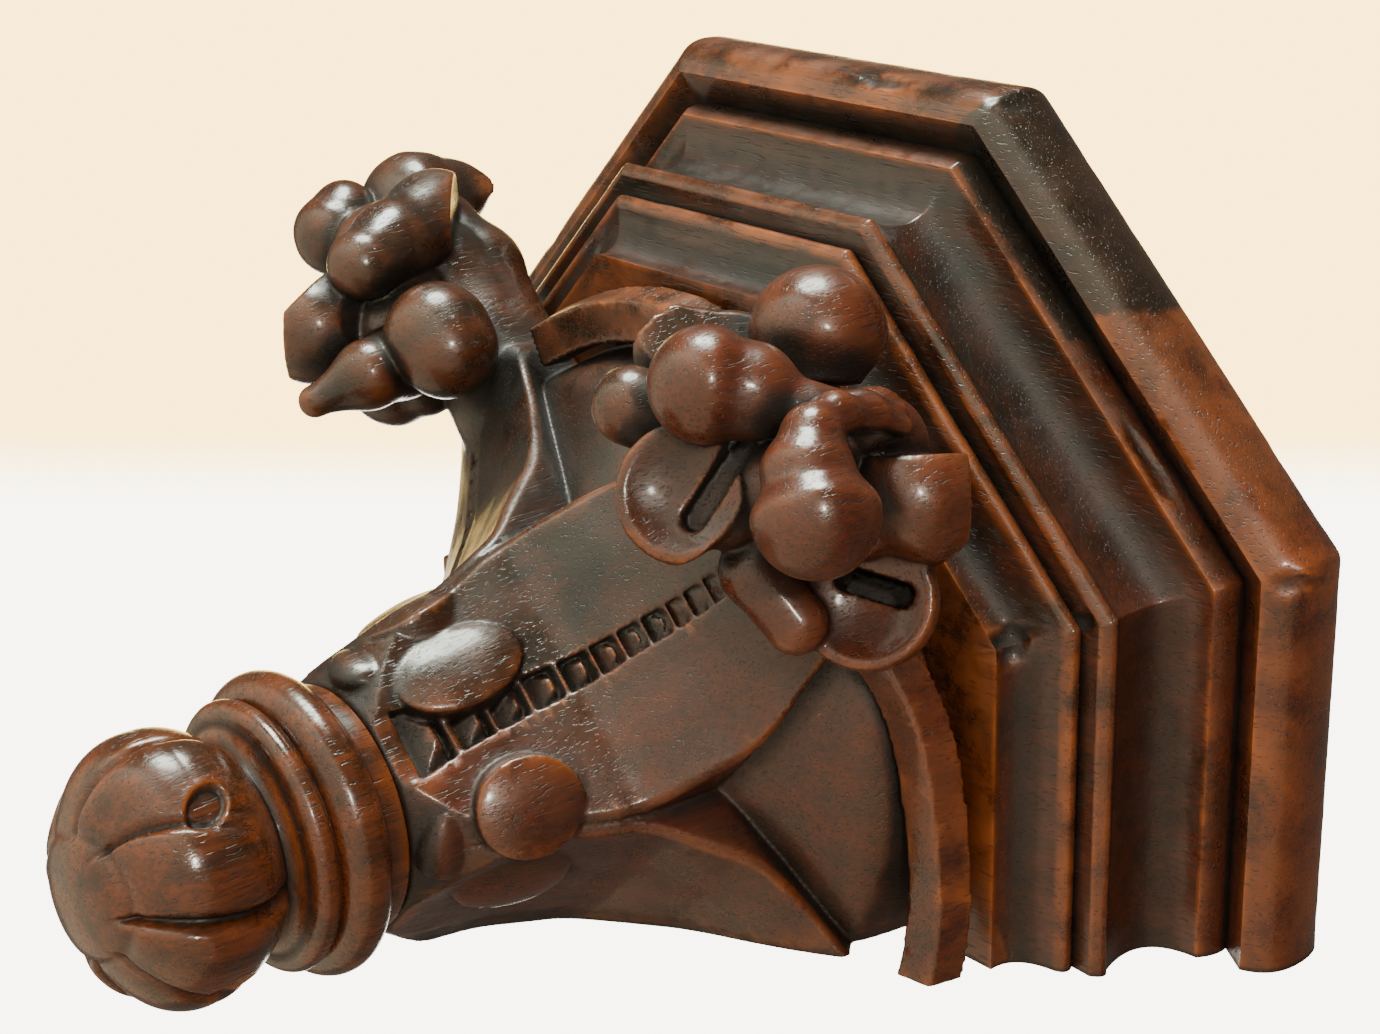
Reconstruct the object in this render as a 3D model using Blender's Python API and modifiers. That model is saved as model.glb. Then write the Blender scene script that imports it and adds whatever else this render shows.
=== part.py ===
"""Carved oak wall shelf: a moulded half-octagon board on a carved bracket with a turned pendant.

Metres, +Z up. The flat back lies on the wall plane Y = 0 and the front faces -Y. The origin is on the
back face, level with the arris under the round nose of the board.
"""

import math

import bmesh
import bpy
from mathutils import Matrix, Vector

# Fit between touching pieces
JOINT_GAP = 0.0003

# Plan of the shelf board, measured at the arris under its nose
SHELF_HALF_WIDTH = 0.150
SHELF_DEPTH = 0.1946
SIDE_DEPTH = 0.101
CORNER_RADIUS = 0.004

# Mouldings, from the top of the board down; an inset is measured in from the plan above
BOARD_THICKNESS = 0.026
BOARD_TOP = 0.024
NOSE_BULGE = 0.0038
TOP_INSET = 0.005
TOP_ROUND_SHARE = 0.05
NOSE_CROWN_SHARE = 0.55
NOSE_FOOT_SHARE = 0.90
NOSE_FOOT_INSET = 0.004
QUIRK_INSET = 0.0125
QUIRK_RISE = 0.0055
BEAD_HEIGHT = 0.0087
BEAD_SLOPE = 0.002
UPPER_HOLLOW_HEIGHT = 0.0204
UPPER_HOLLOW_RUN = 0.0105
UPPER_HOLLOW_BITE = 0.018
UPPER_HOLLOW_LIP_SHARE = 0.06
MIDDLE_NOSE_HEIGHT = 0.005
MIDDLE_NOSE_BULGE = 0.0016
MIDDLE_NOSE_RUN = 0.001
LOWER_QUIRK_INSET = 0.0322
FILLET_INSET = 0.0309
FILLET_HEIGHT = 0.0042
LOWER_HOLLOW_HEIGHT = 0.0107
LOWER_HOLLOW_RUN = 0.0129
LOWER_HOLLOW_BITE = 0.0120
LOWER_HOLLOW_LIP_SHARE = 0.15

# Turned pendant, on a vertical axis in front of the wall
AXIS_TO_WALL = 0.043
COLLAR_RADIUS = 0.0305
COLLAR_HEIGHT = 0.0065
RING_RADIUS = 0.0372
RING_HEIGHT = 0.0125
THIN_RING_RADIUS = 0.0330
THIN_RING_HEIGHT = 0.0065
THROAT_RADIUS = 0.0265
THROAT_HEIGHT = 0.004
BUD_RADIUS = 0.0315
BUD_HEIGHT = 0.0500
BUD_TUCK = 0.0045
BUD_SQUARE_SHARE = 0.06
BUD_PETALS = 5
PETAL_GROOVE = 0.0022
PETAL_TWIST_TURNS = 0.58
PETAL_EDGE_SHARE = 0.10

# Carved bracket, hung under the mouldings
BRACKET_HEIGHT = 0.1122
BELL_WAIST_RADIUS = 0.034
PANEL_REACH_SHARE = 0.871
LEAF_HALF_WIDTH = 0.040
LEAF_SOFTENING = 0.0006
LEAF_FLAT_SHARE = 0.55
LEAF_STEP = 0.0012
ROUND_NECK_SPREAD = 0.075
SMALLEST_PANEL_RATIO = 1.45
PANEL_LIMIT_SHARE = 0.25
LARGEST_LEAF_SHARE = 0.93
PANEL_FACETS = 4
STRIP_HALF_WIDTH = 0.0062
STRIP_DEPTH = 0.0042
STRIP_TAPER_SHARE = 0.45
STRIP_LEAST_SHARE = 0.35
STRIP_FLOOR_SHARE = 0.80
WAIST_SHARE = 0.71
TOOTH_COUNT = 9
TOOTH_HEIGHT = 0.0034
TOOTH_ROW = (0.86, 0.24)
TOOTH_CROWDING_RATIO = 1.15
TOOTH_FOOT_RATIO = 1.30
TOOTH_TIP_RATIO = 0.12
SLOPE_SAMPLE_SHARE = 0.02
BASE_DISC_RADIUS = 0.0140
BASE_DISC_WIDTH_SHARE = 0.72
BASE_DISC_THICKNESS = 0.004
BASE_DISC_TAPER_SHARE = 0.72
BASE_DISC_SHARE = 0.76
BASE_DISC_TILT = 98.0
ARCH_BAND_FACE = 0.009
ARCH_BAND_DEPTH = 0.013
ARCH_BAND_SLOPE = 0.003
CROCKET_SIZE = 0.040

# How finely the round forms are cut
RING_STEPS = 26
BUD_STEPS = 30
BUD_ROWS = 15
DISC_STEPS = 14
LIMB_STEPS = 9
LIMB_SPANS = 3
LIMB_CAP_TURNS = (70.0, 32.0)
CORNER_STEPS = 3
SMALL_STEP = 0.0006

OAK_DARK = (0.060, 0.020, 0.010, 1.0)
OAK_WARM = (0.085, 0.027, 0.012, 1.0)
OAK_RED = (0.095, 0.030, 0.013, 1.0)
WAX_ROUGHNESS = 0.34

# Each rib's face, from the collar up to the shelf: share of its reach beyond the collar, share of the height
RIB_CURVE = ((0.0, 1.0), (0.012, 0.90), (0.053, 0.71), (0.155, 0.54), (0.414, 0.365), (0.712, 0.246),
             (0.864, 0.20), (1.0, 0.15), (1.0, 0.0))
# The bell panel between two ribs, in the same shares, of the panel's own reach
PANEL_CURVE = ((-0.03, 1.0), (-0.03, 0.90), (0.0, 0.71), (0.06, 0.54), (0.30, 0.365), (0.66, 0.246),
               (0.80, 0.20), (0.93, 0.15), (1.0, 0.0))
# Half width of the leaf faces along a rib, as shares of LEAF_HALF_WIDTH, and the share of the height
LEAF_WIDTHS = ((0.62, 1.0), (0.66, 0.90), (0.84, 0.71), (0.94, 0.54), (0.95, 0.365), (0.90, 0.305),
               (0.80, 0.26), (0.72, 0.216), (0.62, 0.17), (0.55, 0.127), (0.50, 0.0))
# How far the edges of a leaf face curl back from its middle, as shares of LEAF_HALF_WIDTH, and the height
LEAF_CURL = ((0.0, 1.0), (0.0, 0.50), (0.0375, 0.42), (0.100, 0.33), (0.200, 0.26), (0.225, 0.0))
# Each disc at the foot of the leaves: azimuth of its rib, and how far along the rib's face it sits, as a
# share of LEAF_HALF_WIDTH. They stay clear of the strip, and a quarter turn brings one rib's on the next.
BASE_DISCS = ((45.0, -0.44), (45.0, 0.54), (-45.0, -0.44), (-45.0, 0.54), (135.0, -0.44), (-135.0, 0.54))
# Rim of the arched bands: degrees from the panel's middle towards the front, distance from the axis as a
# share of the ribs' reach, drop from the seat as a share of the height. The side ones reach farther out by
# the wall.
FRONT_ARCH = ((-28.0, 0.905, 0.187), (-24.0, 0.932, 0.141), (-16.0, 0.973, 0.070), (-8.0, 1.007, 0.025),
              (0.0, 1.016, 0.012), (8.0, 1.007, 0.025), (16.0, 0.973, 0.070), (24.0, 0.932, 0.141),
              (28.0, 0.905, 0.187))
SIDE_ARCH = ((28.0, 0.925, 0.187), (24.0, 0.932, 0.144), (17.5, 0.931, 0.111), (11.3, 0.938, 0.082),
             (5.5, 0.951, 0.062), (0.0, 0.968, 0.046), (-6.0, 0.991, 0.034), (-11.5, 1.017, 0.029),
             (-17.0, 1.055, 0.043), (-22.4, 1.094, 0.070), (-28.0, 1.142, 0.107))

# Rows of the bell's skin, as shares of the height down from the seat
BELL_ROWS = (1.0, 0.95, 0.90, 0.82, 0.76, 0.71, 0.65, 0.60, 0.54, 0.49, 0.44, 0.40, 0.365, 0.33, 0.30, 0.27,
             0.246, 0.22, 0.20, 0.175, 0.15, 0.06, 0.0)

# Limbs of the two crockets: a run of balls (out from the rib's reach, along the face, up from the seat,
# radius), all in crocket sizes. The carver cut the two differently.
RIGHT_CROCKET = {
    "stem": ((-0.50, 0.0, -0.40, 0.46), (0.05, 0.0, -0.36, 0.40), (0.50, -0.05, -0.45, 0.35),
             (0.72, -0.08, -0.62, 0.30)),
    "heart": ((0.30, -0.10, -0.95, 0.42), (0.60, -0.08, -0.75, 0.40)),
    "left teardrop": ((0.60, -0.64, -1.38, 0.30), (0.78, -0.45, -1.00, 0.20), (0.90, -0.20, -0.74, 0.12),
                      (0.92, -0.05, -0.58, 0.07)),
    "right teardrop": ((0.86, 0.34, -1.40, 0.31), (0.96, 0.34, -1.02, 0.19), (0.96, 0.16, -0.76, 0.12),
                       (0.92, 0.0, -0.60, 0.07)),
    "left bulb": ((0.30, -0.60, -0.62, 0.24), (0.50, -0.82, -0.46, 0.32)),
    "right bulb": ((0.35, 0.25, -0.62, 0.24), (0.56, 0.40, -0.44, 0.28)),
    "left shell": ((0.10, -0.10, -1.30, 0.26), (0.12, -0.26, -1.52, 0.34)),
    "right shell": ((0.15, 0.40, -0.95, 0.26), (0.14, 0.70, -0.90, 0.34)),
    "left outer lobe": ((0.05, -0.55, -1.05, 0.20), (-0.06, -0.92, -1.38, 0.23)),
    "right outer lobe": ((0.0, 0.20, -1.0, 0.20), (-0.05, 0.50, -1.10, 0.24)),
    "back leaf": ((-0.10, -0.60, -0.50, 0.22), (-0.05, -1.18, -0.74, 0.22)),
}
LEFT_CROCKET = {
    "stem": ((-0.50, 0.0, -0.40, 0.46), (0.15, 0.0, -0.34, 0.42), (0.70, 0.0, -0.30, 0.38),
             (1.10, -0.05, -0.34, 0.30)),
    "heart": ((0.35, 0.0, -0.80, 0.42), (1.05, -0.10, -0.55, 0.36)),
    "near teardrop": ((0.66, 0.46, -1.05, 0.33), (0.92, 0.36, -0.52, 0.29), (1.27, 0.14, 0.16, 0.09)),
    "far teardrop": ((1.40, -0.30, -0.42, 0.26), (1.48, -0.26, 0.06, 0.25), (1.42, -0.05, 0.60, 0.07)),
    "far bulb": ((1.20, -0.30, -0.45, 0.24), (1.46, -0.38, -0.62, 0.28)),
    "tip block": ((0.50, 0.0, -0.80, 0.30), (0.66, -0.14, -1.16, 0.32)),
    "low leaf": ((0.10, 0.15, -1.00, 0.27), (0.0, 0.25, -1.34, 0.26), (0.02, 0.02, -1.72, 0.10)),
    "near bulb": ((0.05, 0.35, -0.70, 0.28), (-0.04, 0.56, -0.92, 0.35)),
    "hidden bulb": ((0.15, -0.25, -0.65, 0.28), (0.25, -0.40, -0.75, 0.33)),
    "hidden leaf": ((0.40, -0.30, -0.80, 0.26), (0.45, -0.45, -1.00, 0.27)),
}


def clear_scene():
    """Remove every object of the open scene."""
    for old in list(bpy.data.objects):
        bpy.data.objects.remove(old, do_unlink=True)


def new_collection(name):
    """A collection linked to the scene."""
    group = bpy.data.collections.new(name)
    bpy.context.scene.collection.children.link(group)
    return group


def wood(name, colour):
    """A waxed oak material."""
    material = bpy.data.materials.new(name)
    material.use_nodes = True
    shader = material.node_tree.nodes["Principled BSDF"]
    shader.inputs["Base Color"].default_value = colour
    shader.inputs["Roughness"].default_value = WAX_ROUGHNESS
    shader.inputs["Metallic"].default_value = 0.0
    return material


def mesh_object(name, build, group):
    """Link a new object whose mesh is the bmesh `build`, faces turned outward."""
    bmesh.ops.recalc_face_normals(build, faces=build.faces)
    mesh = bpy.data.meshes.new(name)
    build.to_mesh(mesh)
    build.free()
    item = bpy.data.objects.new(name, mesh)
    group.objects.link(item)
    return item


def make_cutter(item):
    """Show a tool shape as wire only and keep it out of renders."""
    item.hide_render = True
    item.display_type = "WIRE"
    return item


def add_boolean(item, other, operation):
    """Cut or join `other` into `item` with the exact solver."""
    step = item.modifiers.new(f"{operation.lower()} {other.name}", "BOOLEAN")
    step.operation = operation
    step.solver = "EXACT"
    step.object = other


def loft(build, rings):
    """Skin closed rings of equal length, in order, and cap the two ends."""
    rows = [[build.verts.new(point) for point in ring] for ring in rings]
    count = len(rows[0])
    for lower, upper in zip(rows, rows[1:]):
        for i in range(count):
            j = (i + 1) % count
            build.faces.new((lower[i], lower[j], upper[j], upper[i]))
    build.faces.new(rows[0][::-1])
    build.faces.new(rows[-1])


def blend(curve, height):
    """Read a curve of (value, height share) pairs at a height share."""
    for (value_a, height_a), (value_b, height_b) in zip(curve, curve[1:]):
        if height_b <= height <= height_a:
            share = (height_a - height) / (height_a - height_b)
            return value_a + (value_b - value_a) * share
    return curve[-1][0] if height < curve[-1][1] else curve[0][0]


def bezier(start, control, end, steps):
    """Points along a quadratic curve, without its start."""
    points = []
    for i in range(1, steps + 1):
        t = i / steps
        points.append(tuple(a * (1 - t) ** 2 + 2 * b * t * (1 - t) + c * t * t
                            for a, b, c in zip(start, control, end)))
    return points


def moulding_profile():
    """The section of board and mouldings, top to bottom, as (inset, height) pairs."""
    nose_foot = BOARD_TOP - BOARD_THICKNESS
    top = (TOP_INSET, BOARD_TOP)
    foot = (NOSE_FOOT_INSET, nose_foot)
    profile = [top]
    crown = (-NOSE_BULGE, BOARD_TOP - NOSE_CROWN_SHARE * BOARD_THICKNESS)
    profile += bezier(top, (-NOSE_BULGE, BOARD_TOP - TOP_ROUND_SHARE * BOARD_THICKNESS), crown, 4)
    profile += bezier(crown, (-NOSE_BULGE, BOARD_TOP - NOSE_FOOT_SHARE * BOARD_THICKNESS), foot, 4)
    quirk = (QUIRK_INSET, nose_foot + QUIRK_RISE)
    bead_foot = (QUIRK_INSET + BEAD_SLOPE, quirk[1] - BEAD_HEIGHT)
    profile.append(quirk)
    profile += bezier(quirk, (QUIRK_INSET - BEAD_SLOPE / 2, quirk[1] - BEAD_HEIGHT / 2), bead_foot, 3)
    hollow_foot = (bead_foot[0] + UPPER_HOLLOW_RUN, bead_foot[1] - UPPER_HOLLOW_HEIGHT)
    lip = UPPER_HOLLOW_LIP_SHARE * UPPER_HOLLOW_HEIGHT
    profile += bezier(bead_foot, (bead_foot[0] + UPPER_HOLLOW_BITE, bead_foot[1] - lip), hollow_foot, 7)
    nose_end = (hollow_foot[0] + MIDDLE_NOSE_RUN, hollow_foot[1] - MIDDLE_NOSE_HEIGHT)
    swell = (hollow_foot[0] - 2 * MIDDLE_NOSE_BULGE, hollow_foot[1] - MIDDLE_NOSE_HEIGHT / 2)
    profile += bezier(hollow_foot, swell, nose_end, 4)
    profile.append((LOWER_QUIRK_INSET, nose_end[1] + JOINT_GAP))
    profile.append((FILLET_INSET, nose_end[1] - FILLET_HEIGHT / 2))
    fillet_foot = (FILLET_INSET + FILLET_HEIGHT / 2, nose_end[1] - FILLET_HEIGHT)
    profile.append(fillet_foot)
    end = (FILLET_INSET + LOWER_HOLLOW_RUN, fillet_foot[1] - LOWER_HOLLOW_HEIGHT)
    lip = LOWER_HOLLOW_LIP_SHARE * LOWER_HOLLOW_HEIGHT
    profile += bezier(fillet_foot, (fillet_foot[0] + LOWER_HOLLOW_BITE, fillet_foot[1] - lip), end, 5)
    return profile


def plan_outline(inset, corner):
    """The half octagon, drawn in by `inset`, as points from the right wall end to the left one."""
    narrowing = inset * math.tan(math.radians(22.5))
    half, front = SHELF_HALF_WIDTH - inset, SHELF_DEPTH - inset
    side = SIDE_DEPTH - narrowing
    front_half = SHELF_HALF_WIDTH - (SHELF_DEPTH - SIDE_DEPTH) - narrowing
    corners = ((half, -side, 0.0, 45.0), (front_half, -front, 45.0, 90.0))
    right = [(half, 0.0)]
    for x, y, start, stop in corners:
        middle = math.radians((start + stop) / 2)
        back_off = corner / math.cos(math.radians(22.5))
        centre = (x - back_off * math.cos(middle), y + back_off * math.sin(middle))
        for i in range(CORNER_STEPS + 1):
            angle = math.radians(start + (stop - start) * i / CORNER_STEPS)
            right.append((centre[0] + corner * math.cos(angle), centre[1] - corner * math.sin(angle)))
    return right + [(-x, y) for x, y in reversed(right)]


def shelf_body(name, group, grow=0.0, lid=0.0):
    """Board and mouldings in one closed body; `grow` swells it and `lid` lifts its top, for a cutter."""
    profile = moulding_profile()
    rings = []
    for row, (inset, height) in enumerate(profile):
        corner = CORNER_RADIUS if height > BOARD_TOP - BOARD_THICKNESS else CORNER_RADIUS / 4
        lift = lid if row == 0 else -grow
        rings.append([(x, y, height + lift) for x, y in plan_outline(inset - grow, corner)])
    build = bmesh.new()
    loft(build, rings)
    return mesh_object(name, build, group)


def seat_height():
    """Height of the bracket's top, just under the lowest moulding."""
    return moulding_profile()[-1][1] - JOINT_GAP


def seam_height():
    """Height of the seam between the bracket and the pendant."""
    return seat_height() - BRACKET_HEIGHT


def rib_reach():
    """Distance from the bell's axis to the lowest moulding of a cant."""
    cant = (SHELF_HALF_WIDTH + SIDE_DEPTH - AXIS_TO_WALL) / math.sqrt(2)
    return cant - moulding_profile()[-1][0]


def bracket_place(azimuth, out, along, height):
    """World point from a rib's own directions: out from the axis, along its face, and height."""
    angle = math.radians(azimuth)
    outward = Vector((math.sin(angle), -math.cos(angle), 0.0))
    sideways = Vector((math.cos(angle), math.sin(angle), 0.0))
    return Vector((0.0, -AXIS_TO_WALL, height)) + outward * out + sideways * along


def draw_in(out, along, radius):
    """Pull a point of the section back to a circle round the axis when it lies outside it."""
    shrink = min(1.0, radius / math.hypot(out, along))
    return out * shrink, along * shrink


def groove_half_width(share):
    """Half width of the groove down a rib, at a share of the height."""
    return STRIP_HALF_WIDTH * (1.0 - STRIP_TAPER_SHARE * max(0.0, 1.0 - share / WAIST_SHARE))


def groove_floor(share):
    """Distance of the groove's floor from the axis, at a share of the height."""
    return rib_radius(share) - STRIP_DEPTH * min(1.0, STRIP_LEAST_SHARE + share)


def rib_radius(share):
    """Distance of a rib's face from the axis, at a share of the bracket's height down from the seat."""
    return COLLAR_RADIUS + blend(RIB_CURVE, share) * (rib_reach() - COLLAR_RADIUS)


def panel_radius(share):
    """Distance of the bell panel from the axis, at a share of the height."""
    spread = PANEL_REACH_SHARE * rib_reach() - BELL_WAIST_RADIUS
    radius = BELL_WAIST_RADIUS + blend(PANEL_CURVE, share) * spread
    return min(radius, rib_radius(share) + PANEL_LIMIT_SHARE * LEAF_HALF_WIDTH)


def quarter_section(share):
    """One quarter of the bell's section: half leaf, groove, half leaf, wall and panel, as (out, along)."""
    reach = rib_radius(share)
    roundness = COLLAR_RADIUS + (1.0 - share) * ROUND_NECK_SPREAD
    half = min(LEAF_HALF_WIDTH * blend(LEAF_WIDTHS, share), LARGEST_LEAF_SHARE * reach)
    groove = groove_half_width(share)
    floor = groove_floor(share)
    curl = LEAF_HALF_WIDTH * blend(LEAF_CURL, share)
    edge = reach - LEAF_SOFTENING - curl
    flat = reach - curl / 5
    panel = max(panel_radius(share), half * SMALLEST_PANEL_RATIO)
    foot = min(math.sqrt(panel * panel - half * half), edge - LEAF_STEP)
    outline = [(foot, -half), (edge, -half), (flat, -LEAF_FLAT_SHARE * half), (reach, -groove),
               (floor, -STRIP_FLOOR_SHARE * groove), (floor, STRIP_FLOOR_SHARE * groove),
               (reach, groove),
               (flat, LEAF_FLAT_SHARE * half), (edge, half), (foot, half)]
    swing = math.atan2(half, foot)
    span = math.pi / 2 - 2 * swing
    corner_radius = math.hypot(foot, half)
    for i in range(1, PANEL_FACETS):
        angle = swing + span * i / PANEL_FACETS
        outline.append((corner_radius * math.cos(angle), corner_radius * math.sin(angle)))
    return [draw_in(out, along, roundness) for out, along in outline]


def bell_body(group):
    """The bracket's body: four ribs with leaf faces on the diagonals and hollow panels between them."""
    rings = []
    for share in BELL_ROWS:
        height = seat_height() - share * BRACKET_HEIGHT
        ring = []
        for azimuth in (45.0, 135.0, 225.0, 315.0):
            ring += [bracket_place(azimuth, out, along, height) for out, along in quarter_section(share)]
        rings.append(ring)
    build = bmesh.new()
    loft(build, rings)
    return mesh_object("carved_bracket", build, group)


def box_between(name, low, high, group):
    """A plain box between two corners."""
    build = bmesh.new()
    bmesh.ops.create_cube(build, size=1.0)
    size = Vector(high) - Vector(low)
    middle = (Vector(high) + Vector(low)) / 2
    bmesh.ops.transform(build, matrix=Matrix.Translation(middle) @ Matrix.Diagonal((*size, 1.0)),
                        verts=build.verts)
    return mesh_object(name, build, group)


def limb(name, balls, group):
    """A smooth limb through a run of (centre, radius) balls, with round ends, as a tool shape."""
    centres = [centre for centre, _ in balls]
    radii = [radius for _, radius in balls]
    stations = []
    first = (centres[1] - centres[0]).normalized()
    last = (centres[-1] - centres[-2]).normalized()
    for turn in LIMB_CAP_TURNS:
        angle = math.radians(turn)
        stations.append((centres[0] - first * radii[0] * math.sin(angle), radii[0] * math.cos(angle), first))
    for i in range(len(balls) - 1):
        direction = (centres[i + 1] - centres[i]).normalized()
        for k in range(LIMB_SPANS):
            share = k / LIMB_SPANS
            mix = 0.5 - 0.5 * math.cos(math.pi * share)
            stations.append((centres[i].lerp(centres[i + 1], share),
                             radii[i] + (radii[i + 1] - radii[i]) * mix, direction))
    stations.append((centres[-1], radii[-1], last))
    for turn in reversed(LIMB_CAP_TURNS):
        angle = math.radians(turn)
        stations.append((centres[-1] + last * radii[-1] * math.sin(angle), radii[-1] * math.cos(angle), last))
    side = first.orthogonal().normalized()
    rings = []
    for centre, radius, direction in stations:
        side = (side - direction * side.dot(direction)).normalized()
        other = direction.cross(side)
        rings.append([centre + (side * math.cos(a) + other * math.sin(a)) * radius
                      for a in (2 * math.pi * k / LIMB_STEPS for k in range(LIMB_STEPS))])
    build = bmesh.new()
    loft(build, rings)
    return make_cutter(mesh_object(name, build, group))


def add_crocket(body, side, azimuth, limbs, group):
    """Join a leaf crocket to the head of a rib, limb by limb."""
    for name, run in limbs.items():
        balls = []
        for out, along, up, radius in run:
            place = bracket_place(azimuth, rib_reach() + out * CROCKET_SIZE, along * CROCKET_SIZE,
                                  seat_height() + up * CROCKET_SIZE)
            balls.append((place, radius * CROCKET_SIZE))
        add_boolean(body, limb(f"{side} {name}", balls, group), "UNION")


def base_discs(group):
    """Round pads at the foot of the leaves."""
    build = bmesh.new()
    height = seat_height() - BASE_DISC_SHARE * BRACKET_HEIGHT
    for azimuth, share in BASE_DISCS:
        along = share * LEAF_HALF_WIDTH
        middle = bracket_place(azimuth, rib_radius(BASE_DISC_SHARE), along, height)
        turn = (Matrix.Translation(middle) @ Matrix.Rotation(math.radians(azimuth), 4, "Z")
                @ Matrix.Rotation(math.radians(BASE_DISC_TILT), 4, "X")
                @ Matrix.Diagonal((BASE_DISC_WIDTH_SHARE, 1.0, 1.0, 1.0)))
        bmesh.ops.create_cone(build, cap_ends=True, segments=DISC_STEPS, radius1=BASE_DISC_RADIUS,
                              radius2=BASE_DISC_TAPER_SHARE * BASE_DISC_RADIUS,
                              depth=2 * BASE_DISC_THICKNESS, matrix=turn)
    return make_cutter(mesh_object("leaf_base_discs", build, group))


def add_teeth(body, azimuth, group):
    """Join pyramid teeth along the groove down the middle of a rib."""
    start, stop = TOOTH_ROW
    origin = bracket_place(azimuth, 0.0, 0.0, 0.0)
    sideways = bracket_place(azimuth, 0.0, 1.0, 0.0) - origin
    depth = TOOTH_HEIGHT + STRIP_DEPTH / 2
    sample = SLOPE_SAMPLE_SHARE
    for i in range(TOOTH_COUNT):
        share = start + (stop - start) * ((i + 0.5) / TOOTH_COUNT) ** TOOTH_CROWDING_RATIO
        groove = groove_half_width(share)
        slope = (rib_radius(share - sample) - rib_radius(share + sample)) / (2 * sample * BRACKET_HEIGHT)
        along_rib = (bracket_place(azimuth, slope, 0.0, 1.0) - origin).normalized()
        outward = sideways.cross(along_rib).normalized()
        foot = bracket_place(azimuth, groove_floor(share), 0.0, seat_height() - share * BRACKET_HEIGHT)
        frame = Matrix((sideways, along_rib, outward)).transposed().to_4x4()
        frame.translation = foot + outward * (depth - STRIP_DEPTH) / 2
        build = bmesh.new()
        bmesh.ops.create_cone(build, cap_ends=True, segments=4, radius1=TOOTH_FOOT_RATIO * groove,
                              radius2=TOOTH_TIP_RATIO * groove, depth=depth,
                              matrix=frame @ Matrix.Rotation(math.radians(45.0), 4, "Z"))
        tooth = make_cutter(mesh_object(f"tooth {i + 1} at {azimuth:.0f}", build, group))
        add_boolean(body, tooth, "UNION")


def arch_band(name, azimuth, rim, turn, group):
    """The arched band round the head of a bell panel; `turn` is the sense of its angles."""
    build = bmesh.new()
    rings = []
    for swing, reach_share, drop_share in rim:
        radius = reach_share * rib_reach()
        top = seat_height() - drop_share * BRACKET_HEIGHT
        inner = radius - ARCH_BAND_DEPTH
        place = azimuth + turn * swing
        rings.append([bracket_place(place, radius, 0.0, top), bracket_place(place, inner, 0.0, top),
                      bracket_place(place, inner - ARCH_BAND_SLOPE, 0.0, top - ARCH_BAND_FACE),
                      bracket_place(place, radius - ARCH_BAND_SLOPE, 0.0, top - ARCH_BAND_FACE)])
    loft(build, rings)
    return make_cutter(mesh_object(name, build, group))


def carved_bracket(parts, tools):
    """The whole bracket, carved from one block and trimmed to the wall and the mouldings."""
    body = bell_body(parts)
    add_boolean(body, arch_band("front_arch", 0.0, FRONT_ARCH, 1.0, tools), "UNION")
    add_boolean(body, arch_band("right_arch", 90.0, SIDE_ARCH, -1.0, tools), "UNION")
    add_boolean(body, arch_band("left_arch", -90.0, SIDE_ARCH, 1.0, tools), "UNION")
    add_boolean(body, base_discs(tools), "UNION")
    for azimuth in (45.0, -45.0):
        add_teeth(body, azimuth, tools)
    add_crocket(body, "right", 45.0, RIGHT_CROCKET, tools)
    add_crocket(body, "left", -45.0, LEFT_CROCKET, tools)
    reach = 2 * SHELF_HALF_WIDTH
    wall = box_between("wall_plane", (-reach, 0.0, -reach), (reach, reach, reach), tools)
    add_boolean(body, make_cutter(wall), "DIFFERENCE")
    clearance = shelf_body("shelf_clearance", tools, grow=JOINT_GAP, lid=JOINT_GAP)
    add_boolean(body, make_cutter(clearance), "DIFFERENCE")
    return body


def pendant_profile():
    """Half section of the pendant's turned part, top to bottom, as (radius, height) pairs."""
    top = seam_height() - JOINT_GAP
    collar_foot = top - COLLAR_HEIGHT
    ring_foot = collar_foot - RING_HEIGHT
    thin_foot = ring_foot - THIN_RING_HEIGHT
    points = [(0.0, top), (COLLAR_RADIUS - SMALL_STEP, top), (COLLAR_RADIUS, top - SMALL_STEP),
              (COLLAR_RADIUS, collar_foot)]
    for radius, head, foot, steps in ((RING_RADIUS, collar_foot, ring_foot, 8),
                                      (THIN_RING_RADIUS, ring_foot, thin_foot, 5)):
        half = (head - foot) / 2
        core = radius - half
        for i in range(steps + 1):
            angle = math.radians(82.0 - 164.0 * i / steps)
            points.append((core + half * math.cos(angle), (head + foot) / 2 + half * math.sin(angle)))
    points.append((THROAT_RADIUS, thin_foot))
    points.append((THROAT_RADIUS, thin_foot - THROAT_HEIGHT))
    points.append((0.0, thin_foot - THROAT_HEIGHT))
    return points


def bud_shape(group):
    """The bud: a rounded ball cut into overlapping petals that turn about the axis."""
    build = bmesh.new()
    bmesh.ops.create_uvsphere(build, u_segments=BUD_STEPS, v_segments=BUD_ROWS, radius=1.0)
    top = pendant_profile()[-1][1] + THROAT_HEIGHT
    middle = top + BUD_TUCK - BUD_HEIGHT / 2
    for vert in build.verts:
        direction = vert.co.normalized()
        angle = math.atan2(direction.y, direction.x)
        tilt = abs(direction.z)
        phase = (angle * BUD_PETALS / (2 * math.pi) + PETAL_TWIST_TURNS * direction.z) % 1.0
        edge = min(phase, 1.0 - phase)
        open_side = 1.0 - tilt ** 3
        groove = PETAL_GROOVE * open_side * max(0.0, 1.0 - edge / PETAL_EDGE_SHARE)
        swell = PETAL_GROOVE * open_side * (0.5 - phase)
        square = 1.0 + BUD_SQUARE_SHARE * (1.0 - tilt) * tilt
        radius = BUD_RADIUS * square + swell - groove
        vert.co = Vector((direction.x * radius, direction.y * radius - AXIS_TO_WALL,
                          middle + direction.z * (BUD_HEIGHT / 2) * square))
    return make_cutter(mesh_object("bud", build, group))


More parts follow.
